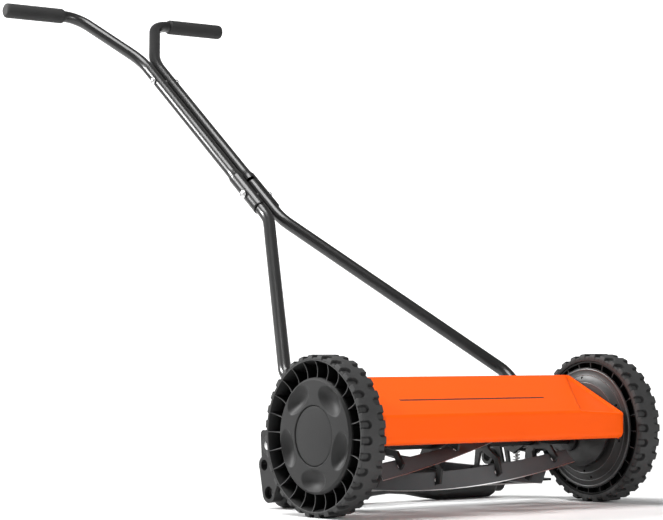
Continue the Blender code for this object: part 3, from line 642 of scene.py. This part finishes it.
def make_caps(name, side):
    radius = np.concatenate([[47.2, 47.5, 48.0], np.linspace(48.6, 85.4, 60), [85.8]])
    rim = rounded([(316.1, 86), (312.6, 89.7), (310.4, 89.7), (309.4, 88)], 0.8, 3)
    front = 316.3 - 1.2 * ((radius - 47) / 38) ** 2 - np.array([0.8, 0.25, 0.05] + [0] * 61)
    angle = np.linspace(0, 2 * np.pi, 420, endpoint=False)[:, None]
    hollow = scoop_depth(angle, radius)
    shape = hollow.shape
    faces = [(front - hollow, radius), (rim[1:, 0] - 1.0, rim[1:, 1])]
    faces.append(((front - hollow)[:, ::-1] - 2.0, radius[::-1] - 0.2))
    x = np.concatenate([np.broadcast_to(f[0], (shape[0], len(f[1]))) for f in faces], 1)
    r = np.concatenate([f[1] for f in faces])
    grid = np.stack([side * x, r * np.cos(angle), r * np.sin(angle)], -1)
    sheets = Sheets().add(grid, True, True)
    node = [f"hub_cap_{name}"]
    build(f"scooped_hub_{name}", sheets, AXLE, f"wheel_{name}", WHEEL, node, 30)
    t = np.linspace(0, 1, 14)
    dome = np.stack([316.9 - 1.9 * t**2, 44.6 * t], -1)
    edge = rounded([(315.0, 44.6), (314.7, 45.9), (309.8, 45.9), (309.8, 0)], 0.7, 4)
    grid = turned(np.concatenate([dome, edge[1:]]), 128, side)
    node = [f"centre_cap_{name}"]
    sheets = Sheets().add(grid, wrap_rows=True)
    build(f"domed_cap_{name}", sheets, AXLE, f"wheel_{name}", WHEEL, node, 30)


for name, side in SIDES.items():
    make_caps(name, side)

# %% [markdown]
# ## Cover
# The cover is one sheet, folded along its length: a lip below, an upright front, and a
# long top that slopes back over the reel. Its section is a line with rounded folds. The
# left end has a corner bent down along a slanting crease, and both upright corners are
# rounded back. Solidify gives the sheet its thickness afterwards, so both skins stay
# parallel.

# %% Folded cover
COVER = {"half": 257.0, "front": -100.0, "fold": 32.0, "rear": (33.0, 90.0), "sheet": 1.8}
ROUND = 6.0  # how far in from the end the upright corners are rounded
CREASE = {"x": (157.0, 249.0), "drop": 5.4, "wall": 2.6, "run": 5.0, "bow": 6.0, "fade": 12.0}


def corner_drop(x, y, z):
    """How far the bent corner lies below the sheet: it grows evenly with the distance
    past the crease, and starts with a short steep step. Below the fold it dies away."""
    back = np.clip((y - COVER["front"]) / (COVER["rear"][0] - COVER["front"]), 0, 1)
    crease = CREASE["x"][0] + (CREASE["x"][1] - CREASE["x"][0]) * back
    crease = crease - CREASE["bow"] * back * (1 - back)
    past = np.maximum(x - crease, 0)
    even = CREASE["drop"] * past / (COVER["half"] - CREASE["x"][0])
    to_edge = smooth((COVER["half"] - x) / CREASE["fade"])
    step = CREASE["wall"] * smooth(past / CREASE["run"]) * smooth(back / 0.07)
    step = step * smooth((1 - back) / 0.1) * to_edge
    return (even + step) * np.clip(z / COVER["fold"], 0, 1)


def make_cover():
    corners = [(-84, -14), (-100, -14), (-100, 32), (33, 90), (37, 79)]
    section = along(rounded(corners, [0, 9, 7, 2.5, 0], 10), 190)
    straight = COVER["half"] - ROUND
    edge = np.linspace(0, 1, 24) ** 0.7 * ROUND
    x = np.concatenate([np.linspace(-straight, straight, 380), straight + edge[1:]])
    x = np.concatenate([-x[:379:-1], x])
    y, z = section[:, :1], section[:, 1:2]
    low = smooth((-2 - z) / 12) * (y < -90)
    past = np.clip(np.abs(x) - straight, 0, ROUND) / ROUND
    upright = smooth((COVER["fold"] + 4 - z) / 10)
    y = y + 4.5 * (1 - np.sqrt(1 - (0.98 * past) ** 2)) * upright
    x = np.sign(x) * (np.abs(x) - 3.5 * low * past)
    z = z - corner_drop(x, y, z)
    shape = np.broadcast(x, y, z).shape
    grid = np.stack([np.broadcast_to(v, shape) for v in (x, y, z)], -1)
    sheets = Sheets().add(grid)
    piece = build("folded_cover", sheets, AXLE, "frame", ORANGE, ["reel_cover"], 50)
    bm = bmesh.new()
    bm.from_mesh(piece.data)
    if sum(f.normal.y * f.calc_area() for f in bm.faces) > 0:
        bmesh.ops.reverse_faces(bm, faces=bm.faces[:])
    bm.to_mesh(piece.data)
    bm.free()
    wall = piece.modifiers.new("sheet", "SOLIDIFY")
    wall.thickness, wall.offset = COVER["sheet"] * MM, -1


make_cover()
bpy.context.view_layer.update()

# %% Cover end flanges


def flat_plate(name, outline, x_from, x_to, centre, body, paint, stands_for=(), edge=0.4):
    """A plate cut to an outline of (y, z), both faces closed to its middle point. The
    outline has to be seen whole from that point. Its edges are broken by edge."""
    outline = np.asarray(outline, float)
    hub = outline.mean(0)
    inset = outline + unit(hub - outline) * edge
    step = np.sign(x_to - x_from) * edge
    rows = [(x_from, 0 * outline + hub), (x_from, inset), (x_from + step, outline)]
    rows += [(x_to - step, outline), (x_to, inset), (x_to, 0 * outline + hub)]
    grid = np.stack([np.column_stack([np.full(len(p), x), p]) for x, p in rows])
    return build(name, Sheets().add(grid, wrap_columns=True), centre, body, paint, stands_for)


for name, side in SIDES.items():
    corners = [(-98, -9), (-62, -9), (-62, 20), (-98, 24)]
    outline = rounded(corners, 7, 6, closed=True)
    x_from, x_to = side * 246.5, side * 248.3
    flat_plate(f"cover_flange_{name}", outline, x_from, x_to, AXLE, "frame", ORANGE)

# %% [markdown]
# ## Pieces with broken edges
# Plates, brackets and the angle bar have the right shape already, but their edges are
# razor sharp. A copy of the piece has its triangles joined back into flat faces, and a
# narrow bevel round every edge. Two segments are enough to catch a line of light.

# %% Break the edges of plates and brackets


def edge_broken(node, paint, width=0.5, flat=1.0):
    """A copy of a frame piece. Neighbouring faces within flat degrees become one."""
    source = frame["nodes"][node]
    mesh = source.data.copy()
    bm = bmesh.new()
    bm.from_mesh(mesh)
    bmesh.ops.remove_doubles(bm, verts=bm.verts[:], dist=2e-6)
    bmesh.ops.dissolve_limit(
        bm, angle_limit=np.radians(flat), verts=bm.verts[:], edges=bm.edges[:]
    )
    bmesh.ops.recalc_face_normals(bm, faces=bm.faces[:])
    bm.to_mesh(mesh)
    bm.free()
    mesh.shade_smooth()
    mesh.set_sharp_from_angle(angle=np.radians(30))
    piece = bpy.data.objects.new(f"finished_{node}", mesh)
    bpy.context.scene.collection.objects.link(piece)
    bevel = piece.modifiers.new("broken edge", "BEVEL")
    bevel.width, bevel.segments = width * MM, 2
    bevel.limit_method, bevel.angle_limit = "ANGLE", np.radians(30)
    bevel.use_clamp_overlap, bevel.harden_normals = True, False
    return finish_piece(piece, source["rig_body"], paint, [node])


for name in SIDES:
    edge_broken(f"side_plate_{name}", FRAME_PAINT, 0.6)
    edge_broken(f"gear_shield_{name}", SHIELD, 0.35, flat=0.3)
    edge_broken(f"roller_bracket_{name}", BLACK, 0.7)
    # Three raised rings on each gear shield; their light grey paint is a painted highlight on the
    # dark shield.
    beads = Sheets()
    for reach, x, tube in ((98.4, 268.7, 1.5), (89.0, 267.1, 0.7), (76.0, 261.7, 0.7)):
        loop = ring(1.0, 16) * [tube * 0.6, tube] + [SIDES[name] * x, reach]
        beads.add(turned(loop, 180), True, True)
    build(f"shield_beads_{name}", beads, AXLE, "frame", BEAD)
edge_broken("cutter_bar", FRAME_PAINT, 0.6)
for number in range(1, 5):
    edge_broken(f"spider_{number}", FRAME_PAINT, 0.5)

# %% [markdown]
# ## Reel and knife
# Each blade is a strip wound on a helix: its section turns with the place along the
# shaft, by about 4.4 degrees every two centimetres, which gives a smooth scissor action.
# The tip is ground, which the mark records for the paint.

# %% Helical blades
REEL_SHAPE = {"blades": 5, "start": 179.4, "twist": -222.0, "half": 200.0, "rows": 161}


BLADE_TIP, BLADE_ROOT = np.array([75.0, 0.0]), np.array([46.0, -8.0])
GROUND_FROM = 73.6  # radius beyond which a blade is ground bright


def blade_angle(number, x):
    """Where a blade stands round the shaft, in radians, at a place along it."""
    pitch = 360 / REEL_SHAPE["blades"]
    return np.radians(REEL_SHAPE["start"] + pitch * number + REEL_SHAPE["twist"] * x * MM)


def blade_section():
    """(radius, tangent) round the strip, from tip to root, with eased corners."""
    outer, inner = BLADE_TIP, BLADE_ROOT
    face = unit(outer - inner)
    thick = np.array([-face[1], face[0]]) * 3
    corners = [outer, outer + 0.25 * thick - 0.4 * face, outer - 4 * face + thick]
    corners += [inner + thick, inner]
    line = rounded(corners, [0.05, 0.15, 0.6, 0.8, 0.8], 3, closed=True)
    return along(np.vstack([line, line[:1]]), 72)[:-1]


def make_blade(number):
    section = blade_section()
    x = np.linspace(-REEL_SHAPE["half"], REEL_SHAPE["half"], REEL_SHAPE["rows"])
    angle = blade_angle(number, x)[:, None]
    r, t = section[:, 0], section[:, 1]
    y = r * np.cos(angle) - t * np.sin(angle)
    z = r * np.sin(angle) + t * np.cos(angle)
    grid = np.stack([np.broadcast_to(x[:, None], y.shape), y, z], -1)
    mark = (r > GROUND_FROM).astype(float)
    sheets = Sheets().add(capped(grid), wrap_columns=True, mark=mark)
    node = f"blade_{number + 1}"
    build(f"helical_{node}", sheets, REEL, "reel", STEEL, [node], 30)


for number in range(REEL_SHAPE["blades"]):
    make_blade(number)

# %% [markdown]
# The shaft steps down where the bearings and pinions sit. A rivet holds every blade to
# every spider, so twenty domes follow the same helix as the blades.

# %% Shaft, rivets, bearings and roller
SPIDERS = (-165, -55, 55, 165)
rivets = Sheets()
dome = np.linspace(0, np.pi / 2, 7)
cap = np.stack([2.0 * np.sin(dome), 3.6 * np.cos(dome)], -1)
for x in SPIDERS:
    for number in range(REEL_SHAPE["blades"]):
        angle = blade_angle(number, x)
        out = np.array([0, np.cos(angle), np.sin(angle)])
        tangent = np.array([0, -np.sin(angle), np.cos(angle)])
        face = unit(BLADE_TIP - BLADE_ROOT)
        lean = np.array([face[1], -face[0]])
        normal = lean[0] * out + lean[1] * tangent
        sideways, ahead = np.cross(normal, [1.0, 0, 0]), np.array([1.0, 0, 0])
        around = np.linspace(0, 2 * np.pi, 20, endpoint=False)[:, None, None]
        spokes = np.cos(around) * ahead + np.sin(around) * sideways
        base = out * 58.5 + tangent * (-4.6) + [x, 0, 0]
        dots = base + spokes * cap[:, 1:2] + normal * cap[:, :1]
        under = np.broadcast_to(base - normal * 0.5, (20, 1, 3))
        rivets.add(np.concatenate([under, dots], 1), wrap_rows=True)
build("blade_rivets", rivets, REEL, "reel", ZINC)

profile = [(-286, 0), (-286, 6), (-247, 6), (-246.4, 8), (246.4, 8), (247, 6), (286, 6), (286, 0)]
shaft = add_turned(Sheets(), profile, 48, radius=0.3)
build("turned_reel_shaft", shaft, REEL, "reel", DARK_STEEL, ["reel_shaft"])

for name, side in SIDES.items():
    profile = [(247.2, 6.6), (258, 6.6), (258, 15.6), (251.7, 15.6), (251.7, 19.9), (247.2, 19.9)]
    hub = add_turned(Sheets(), profile, 72, side, radius=0.6)
    node = f"reel_bearing_{name}"
    build(f"turned_{node}", hub, REEL, "frame", DARK_STEEL, [node])

half_roller = [(35, 14), (70, 20.5), (105, 25.4), (221, 25.4), (228.6, 22), (231.8, 16)]
half_roller += [(231.8, 6.7)]
line = np.array([(-x, r) for x, r in half_roller[::-1]] + [(0, 11.5)] + half_roller)
line = rounded(line, [0.8, 2, 4, 6, 30, 30, 40, 60, 40, 30, 30, 6, 4, 2, 0.8], 5, closed=False)
bore = np.array([(231.8, 6.6), (-231.8, 6.6)])
roller = Sheets().add(turned(np.concatenate([line, bore]), 96), True, True)
build("waisted_roller", roller, ROLLER, "rear_roller", BLACK, ["rear_roller"], 30)

profile = [(-242.4, 0), (-242.4, 6), (242.4, 6), (242.4, 0)]
rod = add_turned(Sheets(), profile, 40, radius=0.7)
build("turned_roller_rod", rod, ROLLER, "roller_carriage", ZINC, ["roller_rod"])

# %% [markdown]
# The bed knife lies under the bar with its lip against the reel. Only the lip is ground.

# %% Bed knife and tie rod
PIVOT = (KNIFE_PIVOT - AXLE) / MM
LIP_TO = 54.4  # the ground lip lies in front of this, measured back from the axle
knife = [(51.9, -90.5), (53.9, -93.5), (91.9, -94.4), (91.9, -91.35), (55.9, -91.35)]
outline = rounded(np.array(knife) - PIVOT, [0.05, 0.2, 0.6, 0.4, 0.3], 3, closed=True)
outline = along(np.vstack([outline, outline[:1]]), 90)[:-1]
x = np.array([-197.9] + list(np.linspace(-197.6, 197.6, 9)) + [197.9])
shrink = np.array([0.35] + [0] * 9 + [0.35])[:, None, None]
ring_mid = outline.mean(0)
rows = outline + unit(ring_mid - outline) * shrink
grid = np.concatenate([np.broadcast_to(x[:, None, None], rows[..., :1].shape), rows], -1)
mark = (outline[:, 0] < LIP_TO - PIVOT[0]).astype(float)
lip = Sheets().add(capped(grid), wrap_columns=True, mark=mark)
build("ground_bed_knife", lip, KNIFE_PIVOT, "cutter_bar", STEEL, ["bed_knife"], 25)

TIE = middle("rear_tie_rod")
half_rod = [(251.6, 7), (251.7, 5), (258.3, 5), (258.4, 9), (263.3, 9), (263.3, 0)]
profile = [(-x, r) for x, r in half_rod[::-1]] + half_rod
tie = add_turned(Sheets(), profile, 40, radius=[0] + [0.5, 0.5, 0.05, 0.05, 0.6] * 2 + [0])
build("turned_tie_rod", tie, TIE, "frame", FRAME_PAINT, ["rear_tie_rod"])

# %% [markdown]
# ## Fasteners
# A bolt is a domed head, a shank and a hexagon nut. In a hexagon the radius at an angle
# is the flat's distance over the cosine of the angle from the middle of that flat, and
# its ends are turned down to a circle, as on a real nut.

# %% Bolts, nuts and the clamp knobs
NUT_SEAT = 258.4  # where the nuts bear on the side plates


def add_nut(sheets, x_from, x_to, radius, at=(0, 0), turn=0.3, steps=72):
    """A chamfered hexagon nut or head whose corners reach the radius."""
    flat = radius * np.cos(np.pi / 6)
    angle = np.linspace(0, 2 * np.pi, steps, endpoint=False) + turn
    off = (angle - turn + np.pi / 6) % (np.pi / 3) - np.pi / 6
    corner = np.minimum(flat / np.cos(off), radius)
    step = np.sign(x_to - x_from)
    rows = [(x_from, 0 * corner), (x_from, flat + 0 * corner - 0.2)]
    rows += [(x_from + step * 0.7, corner), (x_to - step * 0.7, corner)]
    rows += [(x_to, flat + 0 * corner - 0.2), (x_to, 0 * corner)]
    grid = [np.stack([0 * r + x, r * np.cos(angle), r * np.sin(angle)], -1) for x, r in rows]
    return sheets.add(np.stack(grid) + [0, *at], wrap_columns=True)


def add_dome(sheets, x_seat, x_top, radius, at=(0, 0), steps=56):
    """A domed head: a low cylinder under half an ellipse."""
    t = np.linspace(0, np.pi / 2, 12)
    band = 0.3 * (x_top - x_seat)
    line = np.stack([x_seat + band + (x_top - x_seat - band) * np.sin(t), radius * np.cos(t)], -1)
    line = np.concatenate([[(x_seat, 0), (x_seat, radius - 0.3)], line])
    return sheets.add(turned(line, steps) + [0, *at], wrap_rows=True)


def add_shank(sheets, x_from, x_to, radius, at=(0, 0)):
    profile = [(x_from, 0), (x_from, radius), (x_to, radius), (x_to, 0)]
    return add_turned(sheets, profile, 28, offset=at, radius=0.3)


def add_knob(sheets, side, x_from, x_to, radius):
    """A hand knob with eight shallow flutes: the radius falls by the eighth power of a
    cosine, which makes narrow grooves and broad rounded lobes."""
    angle = np.linspace(0, 2 * np.pi, 192, endpoint=False)[:, None]
    groove = np.abs(np.cos(4 * angle)) ** 8
    corners = [(x_to, 0), (x_to, radius), (x_from, radius * 0.92), (x_from, 0)]
    line = rounded(corners, [0, 2.2, 3.2, 0], 7)
    lobed = line[:, 1] * (1 - 0.07 * groove * (line[:, 1] > radius * 0.6))
    x = np.broadcast_to(side * line[:, 0], lobed.shape)
    return sheets.add(np.stack([x, lobed * np.cos(angle), lobed * np.sin(angle)], -1), True)


for name, side in SIDES.items():
    pieces = Sheets()
    add_knob(pieces, side, 234.0, 245.5, 12.0)
    add_shank(pieces, side * 240, side * 262, 4.0)
    add_dome(pieces, side * NUT_SEAT, side * 262.9, 8.0)
    node = f"height_clamp_{name}"
    build(f"fluted_{node}", pieces, CLAMP, "frame", ZINC, [node], 32)

    pieces = Sheets()
    add_dome(pieces, side * 239.5, side * 234.1, 7.0)
    add_shank(pieces, side * 238, side * 262, 3.9)
    add_nut(pieces, side * 246.5, side * 251.5, 7.0)
    add_nut(pieces, side * NUT_SEAT, side * 263.3, 7.0)
    node = f"bar_pivot_bolt_{name}"
    build(f"fine_{node}", pieces, KNIFE_PIVOT, "frame", ZINC, [node], 28)

    pieces = Sheets()
    add_dome(pieces, side * 228.0, side * 222.7, 8.0)
    add_shank(pieces, side * 227, side * 263, 4.1)
    add_nut(pieces, side * NUT_SEAT, side * 264.3, 8.0)
    node = f"handle_pivot_bolt_{name}"
    build(f"fine_{node}", pieces, HANDLE, "frame", ZINC, [node], 28)

    pieces = Sheets()
    add_dome(pieces, side * 246.0, side * 241.1, 4.5)
    add_shank(pieces, side * 245, side * 257.6, 2.3)
    node = f"cover_screw_{name}"
    build(f"fine_{node}", pieces, middle(node), "frame", ZINC, [node], 28)

# %% [markdown]
# The knife's adjusters stand upright: a hexagon screw with a coil spring round it. The
# spring is a circle carried along a helix.

# %% Adjuster screws and springs
for name, side in SIDES.items():
    low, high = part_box(f"adjuster_screw_{name}")
    spot = np.array([(low.x + high.x) / 2, (low.y + high.y) / 2]) / MM
    lying = Sheets()
    add_nut(lying, high.z / MM - 5.2, high.z / MM, 6.4)
    add_shank(lying, low.z / MM, high.z / MM - 1, 2.9)
    upright = [p[:, [1, 2, 0]] + [spot[0], spot[1], 0] for p in lying.points]
    lying.points = upright
    node = f"adjuster_screw_{name}"
    build(f"fine_{node}", lying, (0, 0), "frame", ZINC, [node], 28)

    low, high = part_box(f"adjuster_spring_{name}")
    t = np.linspace(0, 1, 4 * 48 + 1)[:, None]
    turn = 2 * np.pi * 4 * t
    bottom, top = low.z / MM + 1.8, high.z / MM - 1.1
    helix = np.concatenate([5.6 * np.cos(turn), 5.6 * np.sin(turn), bottom + (top - bottom) * t], 1)
    helix = helix + [spot[0], spot[1], 0]
    wire = carried(helix, ring(0.98, 12), (0, 0, 1))
    ends = np.broadcast_to(helix[[0, -1], None], (2, 12, 3))
    wire = np.concatenate([ends[:1], wire, ends[1:]])
    node = f"adjuster_spring_{name}"
    coil = Sheets().add(wire, wrap_columns=True)
    build(f"coiled_{node}", coil, (0, 0), "frame", ZINC, [node], 40)

# %% [markdown]
# ## Handle
# The tubes are drawn flat, in the plane of the handle, and tilted afterwards. u runs up
# the handle and w across it. A tube is an outer and an inner skin in one loop, so its
# wall shows at the ends. The lower tubes end in a pressed-in black cap.

# %% Tubes, half sleeves and grips
FOOT_X, NECK_X = 239.5, 14.0  # where a tube stands at the pivot, and along the handle
TUBE_RADIUS, GRIP_U = 11.0, 1209.0


def tilted(points):
    """From the handle's own (x, u, w) to (x, y, z) round its pivot."""
    x, u, w = points[..., 0], points[..., 1], points[..., 2]
    y = u * np.cos(HANDLE_TILT) - w * np.sin(HANDLE_TILT)
    z = u * np.sin(HANDLE_TILT) + w * np.cos(HANDLE_TILT)
    return np.stack([x, y, z], -1)


def tube_path(corners, radii, step=9.0):
    """Rounded corners, then even steps, so that long straight runs bend evenly too."""
    line = rounded(corners, radii, 28)
    walked = np.sum(np.linalg.norm(np.diff(line, axis=0), axis=1))
    return along(line, int(walked / step))


def add_tube(sheets, path, radii, wall=1.5, count=48):
    """path holds (x, u). radii has one outer radius for each point of it."""
    flat = np.column_stack([path, np.zeros(len(path))])
    section = ring(1.0, count)[None]
    outer = carried(flat, section * np.reshape(radii, (-1, 1, 1)), (0, 0, 1))
    inner = carried(flat, section * (np.reshape(radii, (-1, 1, 1)) - wall), (0, 0, 1))
    return sheets.add(tilted(np.concatenate([outer, inner[::-1]])), True, True)


def make_lower_tube(name, side):
    corners = [(FOOT_X, -14.6), (FOOT_X, 91), (NECK_X, 535), (NECK_X, 645)]
    path = tube_path(corners, [0, 50, 75, 0]) * [side, 1]
    sheets = add_tube(Sheets(), path, np.full(len(path), TUBE_RADIUS))
    node = f"lower_tube_{name}"
    build(f"bent_{node}", sheets, HANDLE, "handle", TUBE, [node], 40)
    caps = Sheets()
    t = np.linspace(0, np.pi / 2, 9)
    for end, way, high in ((path[-1], 1, 4.0), (path[0], -1, 0.9)):
        line = np.stack([high * np.sin(t), 10.9 * np.cos(t)], -1)
        line = np.concatenate([[(-6, 0), (-6, 9.45), (0, 9.45)], line])
        flat = turned(line, 48)
        flat = np.stack([end[0] + flat[..., 1], end[1] + way * flat[..., 0], flat[..., 2]], -1)
        caps.add(tilted(flat), wrap_rows=True)
    build(f"tube_caps_{name}", caps, HANDLE, "handle", BLACK)


def make_upper_tube(name, side):
    corners = [(NECK_X, 652.3), (NECK_X, 1060), (92.5, GRIP_U), (246.4, GRIP_U)]
    path = tube_path(corners, [0, 120, 53, 0], 5.0) * [side, 1]
    radii = TUBE_RADIUS + 1.6 * (1 - smooth((path[:, 1] - 661) / 16))
    sheets = add_tube(Sheets(), path, radii)
    turn = np.radians(np.linspace(-95, 95, 49))
    around = np.stack([np.cos(turn) * side, np.sin(turn)], -1)
    bow = np.concatenate([around * 13.35, around[::-1] * 11.45])
    u = np.array([566.3, 566.8] + list(np.linspace(570, 650, 17)) + [657.0, 663.5, 664.0])
    inset = np.array([0.35] + [0] * 20 + [0.35])[:, None, None]
    rim = bow + unit(-bow) * inset * np.repeat([1, -1], 49)[:, None]
    x = np.broadcast_to(rim[..., 0] + NECK_X * side, (len(u), 98))
    w = np.broadcast_to(rim[..., 1], (len(u), 98))
    sleeve = np.stack([x, np.broadcast_to(u[:, None], x.shape), w], -1)
    middle_line = (sleeve[:, :49] + sleeve[:, :48:-1]) / 2
    seam = np.concatenate([middle_line, middle_line[:, ::-1]], 1)
    sheets.add(tilted(np.concatenate([seam[:1], sleeve, seam[-1:]])), wrap_columns=True)
    node = f"upper_tube_{name}"
    build(f"bent_{node}", sheets, HANDLE, "handle", TUBE, [node], 40)


def make_grip(name, side):
    """A foam sleeve on the tube's end, with chamfered rims and a closed outer end."""
    corners = [(253.4, 0), (253.4, 9.5), (250.6, 13.6), (128, 14.4), (124.1, 12.6)]
    corners += [(124.1, 11.4), (247, 11.4), (247, 0)]
    line = rounded(corners, [0, 2.0, 1.8, 1.2, 0.5, 0.2, 0.2, 0], 5)
    x = np.linspace(130, 248, 60)
    swell = np.column_stack([x, 14.3 + 0.05 * np.sin(x / 9) * np.sin(x / 3.1)])[::-1]
    at = np.argmin(np.abs(line[:, 0] - 128.8))
    line = np.concatenate([line[:at], swell, line[at:]])
    spot = tilted(np.array([0, GRIP_U, 0]))
    sheets = Sheets().add(turned(line, 64, side) + spot, wrap_rows=True)
    node = f"grip_{name}"
    build(f"foam_{node}", sheets, HANDLE, "handle", FOAM, [node], 40)


for name, side in SIDES.items():
    make_lower_tube(name, side)
    make_upper_tube(name, side)
    make_grip(name, side)

for node, along_tube, inner, outer, radius in (
    ("junction_bolt", 608.7, 27.8, 33.0, 8.0),
    ("flare_bolt", 988.6, 25.4, 30.4, 7.0),
):
    spot = tilted(np.array([0, along_tube, 0]))[1:]
    pieces = Sheets()
    add_dome(pieces, -inner, -outer, radius, spot)
    add_shank(pieces, -inner, outer - 0.6, 3.0, spot)
    add_nut(pieces, inner, outer - 0.8, radius, spot)
    build(f"fine_{node}", pieces, HANDLE, "handle", ZINC, [node], 28)

# %% [markdown]
# Small inner pieces keep their frame shape: the drive pinions, pawls, axles and clips.
# They are behind the shields, and get zinc so that they look right when they show.

# %% Paint the pieces that keep their shape
for node, piece in frame["nodes"].items():
    if not piece.hide_render:
        piece.data.materials.clear()
        piece.data.materials.append(ZINC)
        print("painted", node)

# %% [markdown]
# ## Studio
# The floor is a wide round sheet whose rim curls up all the way round, so the views from
# the side and the back have a backdrop too. In the direction that the camera looks, the
# paper glows like a lit backdrop, which keeps the distance white. Everywhere else its
# glow is faint, so that it doesn't fill in the shadows on the mower. One soft box lights
# the wheel from behind on the left, one hangs overhead, and one fills the front. The
# camera stands low and about four metres away.

# %% Floor
FLAT_RADIUS, RIM_BEND, RIM_TOP = 12.0, 1.5, 3.4
BELOW_WHEELS = 0.0002
LOOK_X, LOOK_Y = 0.617, 0.787  # the direction that the camera looks, along the floor

turn = np.linspace(0, np.pi / 2, 12)
bend = np.stack([FLAT_RADIUS + RIM_BEND * np.sin(turn), RIM_BEND - RIM_BEND * np.cos(turn)], -1)
flat = [(0, 0), (1, 0), (2, 0), (4, 0), (8, 0)]
line = np.concatenate([flat, bend, [(FLAT_RADIUS + RIM_BEND, RIM_TOP)]])
angle = np.linspace(0, 2 * np.pi, 128, endpoint=False)[:, None]
sheet_x, sheet_y = line[:, 0] * np.cos(angle), line[:, 0] * np.sin(angle)
sheet_z = np.broadcast_to(line[:, 1], sheet_x.shape) - BELOW_WHEELS
points = np.stack([sheet_x, sheet_y, sheet_z], -1)
mesh = bpy.data.meshes.new("floor")
faces = quads(points.shape[:2], True, False, 0)
mesh.from_pydata(points.reshape(-1, 3).tolist(), [], faces.tolist())
mesh.shade_smooth()
floor = bpy.data.objects.new("floor", mesh)
bpy.context.scene.collection.objects.link(floor)
paper = Paint("floor_paper", emission_strength=1.0)
paper.feed("Base Color", paper.mix(paper.noise(1.5), grey(0.86), grey(0.9)))
paper.feed("Roughness", 0.7 + 0.1 * paper.noise(6))
ahead = LOOK_X * paper.part("X") + LOOK_Y * paper.part("Y")
across = LOOK_Y * paper.part("X") - LOOK_X * paper.part("Y")
lit = paper.step(ahead, 0.5, 3.2) * (1 - paper.step(across * across, 9.0, 30.0))
rim = paper.step(ahead * ahead + across * across, 9.0, 60.0)
faint = paper.mix(rim, grey(0.0), grey(0.2))
paper.feed("Emission Color", paper.mix(lit, faint, grey(0.92)))
mesh.materials.append(paper.material)
print("floor:", len(faces), "faces")

# %% Lights, world and camera


def soft_box(name, place, aim, size, power):
    """An area light that faces from its place to the aim."""
    lamp = bpy.data.lights.new(name, "AREA")
    lamp.shape, lamp.size, lamp.size_y, lamp.energy = "RECTANGLE", size[0], size[1], power
    light = bpy.data.objects.new(name, lamp)
    light.location = place
    light.rotation_euler = (Vector(aim) - Vector(place)).to_track_quat("-Z", "Y").to_euler()
    bpy.context.scene.collection.objects.link(light)
    return light


soft_box("overhead_box", (-0.7, 0.0, 2.8), (0, 0.0, 0.3), (1.4, 1.4), 74)
soft_box("back_left_box", (-2.0, 2.3, 2.1), (-0.25, 0.0, 0.2), (0.7, 0.9), 150)
soft_box("front_box", (-0.2, -4.0, 1.2), (0, -0.4, 0.1), (1.2, 1.0), 50)

world = bpy.data.worlds.new("studio")
world.use_nodes = True
sky = world.node_tree.nodes["Background"]
sky.inputs["Color"].default_value = (1, 1, 1, 1)
sky.inputs["Strength"].default_value = 0.2
bpy.context.scene.world = world

camera = bpy.data.objects.new("camera", bpy.data.cameras.new("camera"))
camera.data.sensor_width = 36
camera.data.lens = 123.816
camera.data.clip_end = 60
camera.location = (-2.45731, -3.24536, 0.26296)
camera.rotation_euler = (np.radians(90 + 2.16189), 0, np.radians(-38.12447))
bpy.context.scene.collection.objects.link(camera)
bpy.context.scene.camera = camera
bpy.context.scene.view_settings.view_transform = "Standard"
print("studio ready, lens", round(camera.data.lens, 2))
